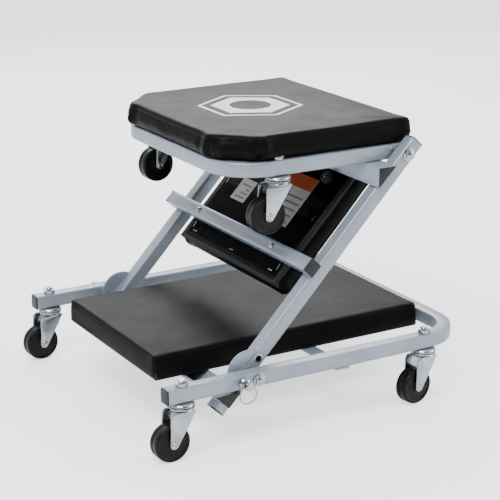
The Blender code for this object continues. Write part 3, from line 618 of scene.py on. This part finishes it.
# %% Split rings
RING_TURNS, RING_STEPS, RING_PITCH = 2 * 0.985, 96, 0.575 * MM
for side, label in SIDES:
    ring_low, ring_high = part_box("lock_ring_" + label)
    middle = (ring_low + ring_high) / 2
    radius, wire = (ring_high.x - ring_low.x) / 2 - 1.1 * MM, 0.52 * MM
    bm = bmesh.new()
    stand = Matrix.Translation((radius, 0, 0)) @ Matrix.Rotation(math.pi / 2, 4, "X")
    made = bmesh.ops.create_circle(bm, cap_ends=True, segments=10, radius=wire,
                                   matrix=stand @ Matrix.Diagonal((1.5, 1, 1, 1)))
    start = list({edge for vert in made["verts"] for edge in vert.link_edges})
    bmesh.ops.spin(bm, geom=made["verts"] + start, cent=(0, 0, 0), axis=(0, 1, 0),
                   angle=RING_TURNS * math.tau, steps=RING_STEPS,
                   dvec=(0, 2 * RING_PITCH / RING_STEPS, 0), use_merge=False)
    bmesh.ops.holes_fill(bm, edges=[e for e in bm.edges if e.is_boundary])
    piece("split_ring_" + label, bm, "lock_ring_" + label, nickel, ["lock_ring_" + label],
          Matrix.Translation(middle - Vector((0, 0.57 * MM, 0))), 60)

# %% Seat lock pins
for side, label in SIDES:
    low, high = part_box("top_lock_pin_" + label)
    centre = (low + high) / 2
    stand = facing((centre.x, side * TOP_OUT, centre.z), (0, side, 0))
    bm = bmesh.new()
    turned(bm, in_mm((0, 2.4), (1.6, 2.35), (2.5, 2), (3, 1.2), (3, -20.5), (3.8, -20.5), (3.8, -27),
                     (3.3, -27.5), (0, -27.5)), stand, 36)
    piece("seat_lock_stud_" + label, bm, "top_lock_pin_" + label, zinc, ["top_lock_pin_" + label])

# %% [markdown]
# ## Casters
# A caster has a threaded stem with a nut, two pressed raceways with balls between them,
# a fork whose legs taper to a riveted axle, and a moulded wheel. The fork is drawn in
# its own upright position and then turned to trail the way this one stands.

# %% Stems, raceways and nuts
RAIL_HEIGHT = TUBE + GAP
BALLS = 20
for corner in CORNERS:
    stem = Vector(JOINTS["swivel_" + corner]["pos_m"])
    stand = Matrix.Translation(stem)
    body = "top_frame" if corner.startswith("top") else "base_frame"
    bm = bmesh.new()
    turned(bm, in_mm((5, -0.3), (12.5, -0.3), (14.5, -0.9), (16.3, -2.2), (17, -3.8), (16.7, -4.7),
                     (15.8, -4.4), (15.2, -3.2), (5, -2.6)), stand, 64, True)
    for i in range(BALLS):
        turn = Matrix.Rotation(math.tau * i / BALLS, 4, "Z")
        spot = stand @ turn @ Matrix.Translation((13.6 * MM, 0, -5.6 * MM))
        bmesh.ops.create_uvsphere(bm, u_segments=12, v_segments=8, radius=1.9 * MM, matrix=spot)
    turned(bm, in_mm((0, -12), (5.6, -12), (6.8, -11), (7, -9.8), (5, -9.8), (5, -0.3), (0, -0.3)),
           stand, 40)
    thread = [(0, -0.4 * MM), (4.7 * MM, -0.4 * MM)]
    height = TUBE + 5 * MM
    while height < TUBE + 8.4 * MM:
        thread += [(4.5 * MM, height), (5 * MM, height + 0.45 * MM)]
        height += 0.9 * MM
    thread += [(4.2 * MM, TUBE + 9 * MM), (0, TUBE + 9 * MM)]
    turned(bm, thread, stand, 32)
    hexagon(bm, stand, 15 * MM, RAIL_HEIGHT, RAIL_HEIGHT + 6 * MM, 0.8 * MM)
    piece("caster_stem_" + corner, bm, body, zinc, ["caster_mount_" + corner])


# %% Forks and axles
HALF_WHEEL = 9.8 * MM
LEG_IN, LEG_OUT = HALF_WHEEL + 1.2 * MM, HALF_WHEEL + 3.4 * MM
LEG_END = 6.3 * MM
for corner in CORNERS:
    stem = Vector(JOINTS["swivel_" + corner]["pos_m"])
    axle = Vector(JOINTS["roll_" + corner]["pos_m"])
    trail, drop = (axle - stem).xy.length, axle.z - stem.z
    stand = Matrix.Translation(stem) @ Matrix.Rotation(math.atan2(axle.y - stem.y, axle.x - stem.x), 4, "Z")
    bm = bmesh.new()
    for side in (-1, 1):
        leg = bmesh.new()
        outline = in_mm((-14.5, -13), (-12, -10.6), (19, -10.6), (22.6, -15.5))
        for degrees in range(8, -151, -14):
            turn = math.radians(degrees)
            outline.append((trail + LEG_END * math.cos(turn), drop + LEG_END * math.sin(turn)))
        outline += in_mm((-7, -25), (-10.5, -18))
        face = leg.faces.new([leg.verts.new((x, side * LEG_IN, z)) for x, z in outline])
        pushed_out(leg, [face], (0, side * (LEG_OUT - LEG_IN), 0))
        bmesh.ops.recalc_face_normals(leg, faces=leg.faces)
        round_edges(leg, sharp_edges(leg, 60), 0.7 * MM)
        join(bm, leg)
        rivet = facing((trail, side * LEG_OUT, drop), (0, side, 0))
        turned(bm, in_mm((3, -0.2), (5, -0.2), (4.9, 0.8), (4.1, 1.7), (2.2, 2), (1.4, 1.2), (0, 1.2),
                         (0, -0.2)), rivet, 32)
    turned(bm, in_mm((7.4, -8.2), (14, -7.9), (15.2, -6.9), (16.1, -6.4), (16.8, -6.9), (16.9, -7.9),
                     (15.9, -9), (14.6, -9.7), (15.2, -10.8), (14.6, -12.2), (7.4, -12.2)),
           WORLD, 64, True)
    shaft = facing((trail, -LEG_OUT, drop), (0, 1, 0))
    turned(bm, [(0, 0), (3 * MM, 0), (3 * MM, 2 * LEG_OUT), (0, 2 * LEG_OUT)], shaft, 24)
    piece("caster_yoke_" + corner, bm, "fork_" + corner, zinc, ["caster_fork_" + corner], stand)

# %% [markdown]
# ## Wheels
# The wheels are moulded in one piece. The side is a plain disc with a raised boss round
# the axle and a shallow step before the rim, and the tread is flat with rounded edges.
# A fine mould line runs round its middle.

# %% Wheels
for corner in CORNERS:
    joint = JOINTS["roll_" + corner]
    stand = facing(joint["pos_m"], joint["axis"])
    half = in_mm((3.3, -9.8), (6.9, -9.8), (7.5, -9.3), (7.8, -8.6), (8.6, -8.3), (20.4, -8.4),
                 (21.2, -9.2), (22.4, -9.5), (24, -9.3), (24.9, -8.5), (25.3, -7.2), (25.4, -5.5),
                 (25.4, -0.35), (25.25, -0.15))
    profile = half + [(radius, -height) for radius, height in reversed(half)]
    bm = bmesh.new()
    turned(bm, profile, WORLD, 72, True)
    piece("caster_tread_" + corner, bm, "wheel_" + corner, wheel_nylon,
          ["caster_wheel_" + corner], stand)

# %% [markdown]
# ## Stuffed pads
# Each pad is a board, a slab of foam and a vinyl cover stapled underneath. A slab with
# rounded edges is remeshed into even squares and blown up like a cushion by the Cloth
# solver, with the band next to the board held still. The top then crowns, the sides
# bulge between the corners, and the cover stays flat where it is stapled. The blown
# shape is much fuller than a firm seat, so its moves are scaled down to a cap.


# %% Blow up a slab
def slab(outline, low, high, rounding, edge):
    bm = bmesh.new()
    face = bm.faces.new([bm.verts.new((x, y, low)) for x, y in outline])
    pushed_out(bm, [face], (0, 0, high - low))
    bmesh.ops.recalc_face_normals(bm, faces=bm.faces)
    upright = [e for e in bm.edges if abs(e.verts[0].co.z - e.verts[1].co.z) > 1 * MM]
    round_edges(bm, upright, rounding, 4)
    rims = [e for e in bm.edges if abs(e.verts[0].co.z - e.verts[1].co.z) < 1e-6
            and math.degrees(e.calc_face_angle(0)) > 60]
    tops = [e for e in rims if e.verts[0].co.z > high - 1e-5]
    bottoms = [e for e in rims if e.verts[0].co.z < low + 1e-5]
    round_edges(bm, tops, edge, 3)
    round_edges(bm, [e for e in bottoms if e.is_valid], 3 * MM)
    return bm


def inflated(bm, low, voxel, side_cap, top_cap):
    made = as_object(bm, "pad_blank")
    remesh = made.modifiers.new("squares", "REMESH")
    remesh.mode = "VOXEL"
    remesh.voxel_size = voxel
    mesh = evaluated_mesh(made)
    made.modifiers.clear()
    made.data = mesh
    rest = [v.co.copy() for v in mesh.vertices]
    held = made.vertex_groups.new(name="stapled")
    held.add([i for i, co in enumerate(rest) if co.z < low + 9 * MM], 1.0, "REPLACE")
    cloth = made.modifiers.new("air", "CLOTH")
    cloth.settings.quality = 5
    cloth.settings.mass = 0.25
    cloth.settings.tension_stiffness = 12
    cloth.settings.compression_stiffness = 12
    cloth.settings.bending_stiffness = 1.2
    cloth.settings.use_pressure = True
    cloth.settings.uniform_pressure_force = 4.0
    cloth.settings.effector_weights.gravity = 0.0
    cloth.settings.vertex_group_mass = "stapled"
    cloth.collision_settings.use_collision = False
    scene = bpy.context.scene
    for step in range(1, 21):
        scene.frame_set(step)
    mesh = evaluated_mesh(made)
    scene.frame_set(1)
    shaped = bmesh.new()
    shaped.from_mesh(mesh)
    shaped.verts.ensure_lookup_table()
    moves = [vert.co - start for vert, start in zip(shaped.verts, rest)]
    side_share = min(1.0, side_cap / max(1e-6, max(move.xy.length for move in moves)))
    top_share = min(1.0, top_cap / max(1e-6, max(move.z for move in moves)))
    for vert, start, move in zip(shaped.verts, rest, moves):
        vert.co = start + Vector((*(move.xy * side_share), max(0.0, move.z) * top_share))
    bpy.data.objects.remove(made)
    bmesh.ops.smooth_vert(shaped, verts=shaped.verts, factor=0.5, use_axis_x=True, use_axis_y=True,
                          use_axis_z=True)
    bmesh.ops.subdivide_edges(shaped, edges=shaped.edges, cuts=1, smooth=0.6, use_grid_fill=True)
    return shaped


# %% [markdown]
# ## Seams and gathers
# The cover is a top panel sewn to a side band with a welt in the seam. The stitches
# pull the seam in, and where the band goes round a corner it is nipped, so short
# gathers fan out from the corner. These are pressed into the mesh after inflating.


# %% Pull in the seam, crease the corners and ruffle the band
STITCH_DEPTH = 0.9 * MM
REACH = 10 * MM  # how far in from its sides a pad is shaped


def gap_to_side(point, outline):
    gaps = []
    for first, second in zip(outline, outline[1:] + outline[:1]):
        a, b = Vector(first), Vector(second)
        along = b - a
        share = max(0.0, min(1.0, (point - a).dot(along) / along.length_squared))
        gaps.append((point - a - along * share).length)
    return min(gaps)


def bell(distance, width):
    """One at no distance, falling smoothly to almost nothing at two widths."""
    return math.exp(-(distance / width) ** 2)


def tailor(bm, outline, low, high, seam, tuck, nips, gather):
    middle = sum((Vector(p) for p in outline), Vector((0, 0))) / len(outline)
    for vert in bm.verts:
        x, y, z = vert.co
        away = vert.co.xy - middle
        away.normalize()
        if z > low + 4 * MM:
            pull = STITCH_DEPTH * bell(z - seam, 1.9 * MM)
            near = min((vert.co.xy - Vector(p)).length for p in nips)
            fade = bell(max(0.0, z - seam), 4 * MM)
            crease = bell(near, 5.5 * MM)
            lip = bell(near - 14 * MM, 7 * MM)
            fan = noise.noise(Vector((x / (11 * MM), y / (11 * MM), z / (50 * MM))))
            ruffle = fan * bell(near, 26 * MM)
            pull += gather * fade * (2.2 * crease - 0.9 * lip + 1.4 * ruffle)
            if z < seam:
                pull += 0.4 * gather * noise.noise(Vector((x / (26 * MM), y / (26 * MM), z / (14 * MM))))
            weight = max(0.0, 1 - gap_to_side(vert.co.xy, outline) / REACH)
            vert.co.xy -= away * pull * weight
        under = max(0.0, 1 - (z - low) / (15 * MM))
        vert.co.xy -= away * tuck * under ** 1.4
        if z > high - 2 * MM:
            vert.co.z += 0.35 * MM * noise.noise(Vector((x / (60 * MM), y / (60 * MM), 3.1)))


# %% Lay a welt in the seam
def rounded_path(outline, rounding, step):
    bm = bmesh.new()
    face = bm.faces.new([bm.verts.new((x, y, 0)) for x, y in outline])
    bmesh.ops.bevel(bm, geom=list(face.verts), offset=rounding, segments=5, affect="VERTICES",
                    profile=0.5, material=-1)
    bm.faces.ensure_lookup_table()
    corners = [v.co.xy.copy() for v in bm.faces[0].verts]
    bm.free()
    path = []
    for a, b in zip(corners, corners[1:] + corners[:1]):
        count = max(1, round((b - a).length / step))
        path += [a.lerp(b, i / count) for i in range(count)]
    return path


def welt(name, pad_mesh, outline, rounding, level, radius, body, place):
    bm = bmesh.new()
    bm.from_mesh(pad_mesh)
    tree = BVHTree.FromBMesh(bm)
    middle = sum((Vector(p) for p in outline), Vector((0, 0))) / len(outline)
    points = []
    for spot in rounded_path(outline, rounding, 5 * MM):
        out = spot.to_3d() + Vector((0, 0, level))
        way = (middle - spot).to_3d().normalized()
        hit = tree.ray_cast(out - way * 30 * MM, way)[0]
        points.append((hit if hit else out) - way * radius * 0.35)
    bm.free()
    curve = bpy.data.curves.new(name, "CURVE")
    curve.dimensions = "3D"
    curve.bevel_depth = radius
    curve.bevel_resolution = 2
    spline = curve.splines.new("POLY")
    spline.points.add(len(points) - 1)
    for point, co in zip(spline.points, points):
        point.co = (*co, 1)
    spline.use_cyclic_u = True
    guide = bpy.data.objects.new(name + "_guide", curve)
    bpy.context.scene.collection.objects.link(guide)
    mesh = evaluated_mesh(guide)
    bpy.data.objects.remove(guide)
    bm = bmesh.new()
    bm.from_mesh(mesh)
    return piece(name, bm, body, welt_vinyl, place=place, crisp=80)


# %% [markdown]
# ## Three pads, one recipe
# The base pad is firm and crisp. The seat is fuller, is tucked in under its lower edge
# and is nipped hard at its cut-off corners. The middle pad hangs upside down, so it is
# drawn upright and then turned over.


# %% Build a pad from its outline
def pad(name, outline, low, high, body, stands_for, place, cover, crown, tuck, nips, gather, puff=2.5 * MM,
        edge=5 * MM):
    voxel, rounding = 5 * MM, 9 * MM
    bm = inflated(slab(outline, low, high - crown, rounding, edge), low, voxel, puff, crown)
    seam = high - crown - edge
    tailor(bm, outline, low, high - crown, seam, tuck, nips, gather)
    pad_mesh = bpy.data.meshes.new(name + "_local")
    bm.to_mesh(pad_mesh)
    made = piece(name, bm, body, cover, [stands_for], place, crisp=70)
    welt(name + "_welt", pad_mesh, outline, rounding, seam, 0.7 * MM, body, place)
    bpy.data.meshes.remove(pad_mesh)
    print(name, "has", len(made.data.polygons), "faces")
    return made


# %% The three pads
def shrunk(outline, by):
    """Draw a convex outline in by one distance on every side."""
    count = len(outline)
    points = []
    for i in range(count):
        before, here, after = (Vector(outline[(i + k) % count]) for k in (-1, 0, 1))
        first, second = (here - before).normalized(), (after - here).normalized()
        normals = [Vector((-d.y, d.x)) for d in (first, second)]
        middle = (normals[0] + normals[1]).normalized()
        points.append(tuple(here + middle * by / middle.dot(normals[0])))
    return points


low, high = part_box("base_pad")
base_outline = [(low.x, low.y), (high.x, low.y), (high.x, high.y), (low.x, high.y)]
BASE_LOW = LOWER.z - TUBE / 2 + GAP
pad("base_cushion", shrunk(base_outline, 1.5 * MM), BASE_LOW, high.z, "base_frame", "base_pad", WORLD,
    vinyl, 2.5 * MM, 1 * MM, base_outline, 0.5 * MM)
low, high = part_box("seat_pad")
CHAMFER = 50 * MM
low.x, high.x = low.x - 6 * MM, high.x + 5 * MM
seat_outline = [(low.x, low.y + CHAMFER), (low.x + CHAMFER, low.y), (high.x, low.y), (high.x, high.y),
                (low.x + CHAMFER, high.y), (low.x, high.y - CHAMFER)]
SEAT_LOW = UPPER.z + TUBE / 2 + GAP
seat_nips = seat_outline[:2] + seat_outline[4:]
pad("seat_cushion", seat_outline, SEAT_LOW, high.z + 3 * MM, "top_frame", "seat_pad", WORLD, printed_vinyl,
    5 * MM, 7 * MM, seat_nips, 4 * MM, 4 * MM, 7 * MM)
PAD_FROM, PAD_TO, PAD_OUT = 114 * MM, 337 * MM, 139 * MM
PAD_THICK = 36 * MM
middle_outline = [(PAD_FROM, -PAD_OUT), (PAD_TO, -PAD_OUT), (PAD_TO, PAD_OUT), (PAD_FROM, PAD_OUT)]
FLIPPED = MIDDLE @ Matrix.Rotation(math.pi, 4, "X")
pad("middle_cushion", shrunk(middle_outline, 1.5 * MM), -TUBE / 2, PAD_THICK - TUBE / 2, "middle_frame",
    "middle_pad", FLIPPED, vinyl, 5 * MM, 3 * MM, middle_outline, 1.6 * MM, 3 * MM, 6 * MM)

# %% [markdown]
# ## Boards, turned-over covers and staples
# Behind each pad the vinyl is folded over the board's edge and stapled in a line; here the fold and
# staples are drawn behind the base and middle pads. The fold is a thin frame of vinyl whose inner
# edge was cut by hand, so it wanders a little.


# %% The fold-over and its staples
FOLD = 26 * MM


def fold_over(name, outline, level, way, body, place, staple_rows):
    bm = bmesh.new()
    face = bm.faces.new([bm.verts.new((x, y, level)) for x, y in outline])
    bmesh.ops.inset_region(bm, faces=[face], thickness=FOLD, use_boundary=True, use_even_offset=True)
    bmesh.ops.delete(bm, geom=[face], context="FACES_ONLY")
    bmesh.ops.subdivide_edges(bm, edges=bm.edges, cuts=9, use_grid_fill=True)
    centre = Vector((sum(p[0] for p in outline), sum(p[1] for p in outline))) / len(outline)
    for vert in bm.verts:
        inside = gap_to_side(vert.co.xy, outline) / FOLD
        wander = noise.noise(vert.co * 40) * 2.4 * MM + noise.noise(vert.co * 160) * 0.7 * MM
        vert.co.xy += (centre - vert.co.xy).normalized() * wander * inside ** 2
        vert.co.z += way * 0.1 * MM * (1 + noise.noise(vert.co * 90)) * inside
    pushed_out(bm, list(bm.faces), (0, 0, way * 0.5 * MM))
    piece(name, bm, body, vinyl, place=place, crisp=60)
    bm = bmesh.new()
    for x, y, quarter in staple_rows:
        wire = bmesh.ops.create_cube(bm, size=1.0)["verts"]
        slant = 0.5 * noise.noise(Vector((x * 31, y * 31, 0)))
        turn = Matrix.Rotation(slant + (math.pi / 2 if quarter else 0), 4, "Z")
        spot = Matrix.Translation((x, y, level + way * 0.85 * MM))
        bmesh.ops.transform(bm, verts=wire,
                            matrix=spot @ turn @ Matrix.Diagonal((10 * MM, 0.9 * MM, 0.5 * MM, 1)))
    piece(name + "_staples", bm, body, zinc, place=place)


# %% Backs of the three pads
def staple_spots(outline, inset, spacing):
    """Places along all four sides of a rectangle, with a turn for the two end rows."""
    xs, ys = [p[0] for p in outline], [p[1] for p in outline]
    centre = Vector(((min(xs) + max(xs)) / 2, (min(ys) + max(ys)) / 2))
    half = Vector(((max(xs) - min(xs)) / 2 - inset, (max(ys) - min(ys)) / 2 - inset))
    spots = []
    for along, across in ((0, 1), (1, 0)):
        count = max(1, round(2 * half[along] / spacing))
        for side in (-1, 1):
            for i in range(count + 1):
                spot = centre.copy()
                spot[along] += half[along] * (2 * i / count - 1) * 0.9
                spot[across] += half[across] * side
                spots.append((*spot, along == 1))
    return spots


covers = (("middle", middle_outline, -TUBE / 2, "middle_frame", FLIPPED),
          ("base", base_outline, BASE_LOW, "base_frame", WORLD))
for name, outline, level, body, place in covers:
    inner = shrunk(outline, 5 * MM)
    staples = staple_spots(inner, 15 * MM, 115 * MM)
    fold_over(name + "_fold", inner, level - 0.05 * MM, -1, body, place, staples)
PANELS = (("middle_board", "middle_frame"), ("base_board", "base_frame"), ("seat_board", "top_frame"))
for board, body in PANELS:
    rolled(board, board.replace("board", "panel"), body, fibreboard, 0.6 * MM)

# %% [markdown]
# ## Screws, buffers and stickers
# Two pan-head screws hold the middle board to its cross tube. Two rubber buffers keep
# the top frame from knocking the board, and two stickers are on the board's back.

# %% Screws and buffers
TUBE_FACE = TUBE / 2
BAR_AT, SCREW_OUT = 160.5 * MM, 104 * MM
BUFFER_AT, BUFFER_OUT = 287 * MM, 89 * MM
for side, label in SIDES:
    stand = MIDDLE @ Matrix.Translation((BAR_AT, side * SCREW_OUT, TUBE_FACE + TUBE + GAP))
    bm = bmesh.new()
    turned(bm, in_mm((0, 2.6), (1, 2.6), (3, 2.1), (4.2, 0.9), (4.4, 0), (0, 0)), stand, 32)
    piece("cross_tube_screw_" + label, bm, "middle_frame", zinc)
    stand = MIDDLE @ Matrix.Translation((BUFFER_AT, side * BUFFER_OUT, TUBE_FACE + GAP))
    bm = bmesh.new()
    turned(bm, in_mm((0, 0), (8.6, 0), (9.4, 1), (9.4, 3.4), (8.4, 8.2), (7.4, 9.7), (6.2, 10),
                     (5.2, 9.6), (5, 7), (0, 7)), stand, 48)
    piece("rubber_buffer_" + label, bm, "middle_frame", buffer_rubber, ["board_bumper_" + label])
    bm = bmesh.new()
    turned(bm, in_mm((0, 9.4), (2, 9.2), (3.8, 8.2), (4.2, 7), (0, 7)), stand, 32)
    piece("buffer_screw_" + label, bm, "middle_frame", zinc)


# %% Stickers
def sticker_sheet(bm, u_low, u_high, y_low, y_high, low, high):
    made = bmesh.ops.create_cube(bm, size=1.0)["verts"]
    corner, other = Vector((u_low, y_low, low)), Vector((u_high, y_high, high))
    bmesh.ops.transform(bm, verts=made, matrix=Matrix.Translation((corner + other) / 2)
                        @ Matrix.Diagonal((*(other - corner), 1)))


BACK = TUBE_FACE
STICKERS = (("large", 197, 279, -75, 3), ("small", 203, 240, 49, 87))
for name, u_low, u_high, y_low, y_high in STICKERS:
    bm = bmesh.new()
    sticker_sheet(bm, u_low * MM, u_high * MM, y_low * MM, y_high * MM, BACK + 0.05 * MM, BACK + 0.3 * MM)
    piece(f"sticker_{name}", bm, "middle_frame", label_white_painted_shade, place=MIDDLE)
    bars = bmesh.new()
    count = 5 if name == "large" else 4
    room = (u_high - u_low) * (0.68 if name == "large" else 0.9)
    for i in range(count):
        u = u_low + 5 + i * (room - 6) / count
        sticker_sheet(bars, u * MM, (u + 3.2) * MM, (y_low + 6) * MM, (y_high - 6 - 9 * (i % 3)) * MM,
                      BACK + 0.3 * MM, BACK + 0.36 * MM)
    piece(f"sticker_{name}_bars", bars, "middle_frame", label_grey, place=MIDDLE)
bm = bmesh.new()
sticker_sheet(bm, 258 * MM, 279 * MM, -75 * MM, 3 * MM, BACK + 0.3 * MM, BACK + 0.36 * MM)
piece("sticker_band", bm, "middle_frame", label_band_painted_shade, place=MIDDLE)

# %% [markdown]
# ## Camera, floor and light
# The camera stands well back with a long lens, as for a product shot. The floor is a
# plain pale sheet that glows a little to the camera only, so that it is nearly white and
# lights nothing. Large soft panels and a bright surround light the rest. The room is
# darker behind the camera, so the plated parts, which mirror it, have contrast, and the
# black sides of the pads stay black.

# %% Camera
camera_data = bpy.data.cameras.new("studio_camera")
camera_data.sensor_width = 36
camera_data.lens = 112.43
camera = bpy.data.objects.new("studio_camera", camera_data)
camera.location = (-1.06355, -1.84430, 0.86235)
camera.rotation_euler = (math.radians(90 - 17.52), 0, math.radians(-30.42))
bpy.context.scene.collection.objects.link(camera)
bpy.context.scene.camera = camera

# %% Floor
floor_paper, tree, shader, place = new_finish("studio_paper", "#fbfbfb", 0.8)
shader.inputs["Emission Color"].default_value = srgb("#ffffff")
seen = add(tree, "ShaderNodeLightPath").outputs["Is Camera Ray"]
glow = add(tree, "ShaderNodeMath", {"operation": "MULTIPLY"}, {})
glow.inputs[1].default_value = 1.2
tree.links.new(seen, glow.inputs[0])
tree.links.new(glow.outputs["Value"], shader.inputs["Emission Strength"])
bm = bmesh.new()
bmesh.ops.create_grid(bm, x_segments=1, y_segments=1, size=12)
floor_mesh = bpy.data.meshes.new("studio_floor")
bm.to_mesh(floor_mesh)
bm.free()
floor_mesh.materials.append(floor_paper)
floor = bpy.data.objects.new("studio_floor", floor_mesh)
bpy.context.scene.collection.objects.link(floor)

# %% Lights
world = bpy.data.worlds.new("studio")
bpy.context.scene.world = world
world.use_nodes = True
backdrop = world.node_tree.nodes["Background"]
backdrop.inputs["Strength"].default_value = 1.25
way = add(world.node_tree, "ShaderNodeTexCoord").outputs["Generated"]
towards_camera = add(world.node_tree, "ShaderNodeVectorMath", {"operation": "DOT_PRODUCT"})
towards_camera.inputs[1].default_value = camera.location.normalized()
world.node_tree.links.new(way, towards_camera.inputs[0])
room = add(world.node_tree, "ShaderNodeValToRGB", links={"Fac": towards_camera.outputs["Value"]})
room.color_ramp.elements[0].position, room.color_ramp.elements[1].position = 0.45, 0.85
room.color_ramp.elements[0].color, room.color_ramp.elements[1].color = srgb("#f6f8fa"), srgb("#5a5d60")
world.node_tree.links.new(room.outputs["Color"], backdrop.inputs["Color"])


def panel(name, location, target, size, power):
    light = bpy.data.lights.new(name, "AREA")
    light.shape = "RECTANGLE"
    light.size, light.size_y = size
    light.energy = power
    lamp = bpy.data.objects.new(name, light)
    lamp.location = location
    lamp.rotation_euler = (Vector(target) - Vector(location)).to_track_quat("-Z", "Y").to_euler()
    bpy.context.scene.collection.objects.link(lamp)


panel("key_panel", (-1.2, -1.0, 2.4), (0, 0, 0.2), (1.6, 1.2), 70)
panel("back_panel", (0.8, 2.2, 1.6), (0, 0, 0.3), (2.0, 1.0), 45)
panel("side_panel", (2.2, -1.2, 1.2), (0, 0, 0.2), (1.2, 1.2), 20)
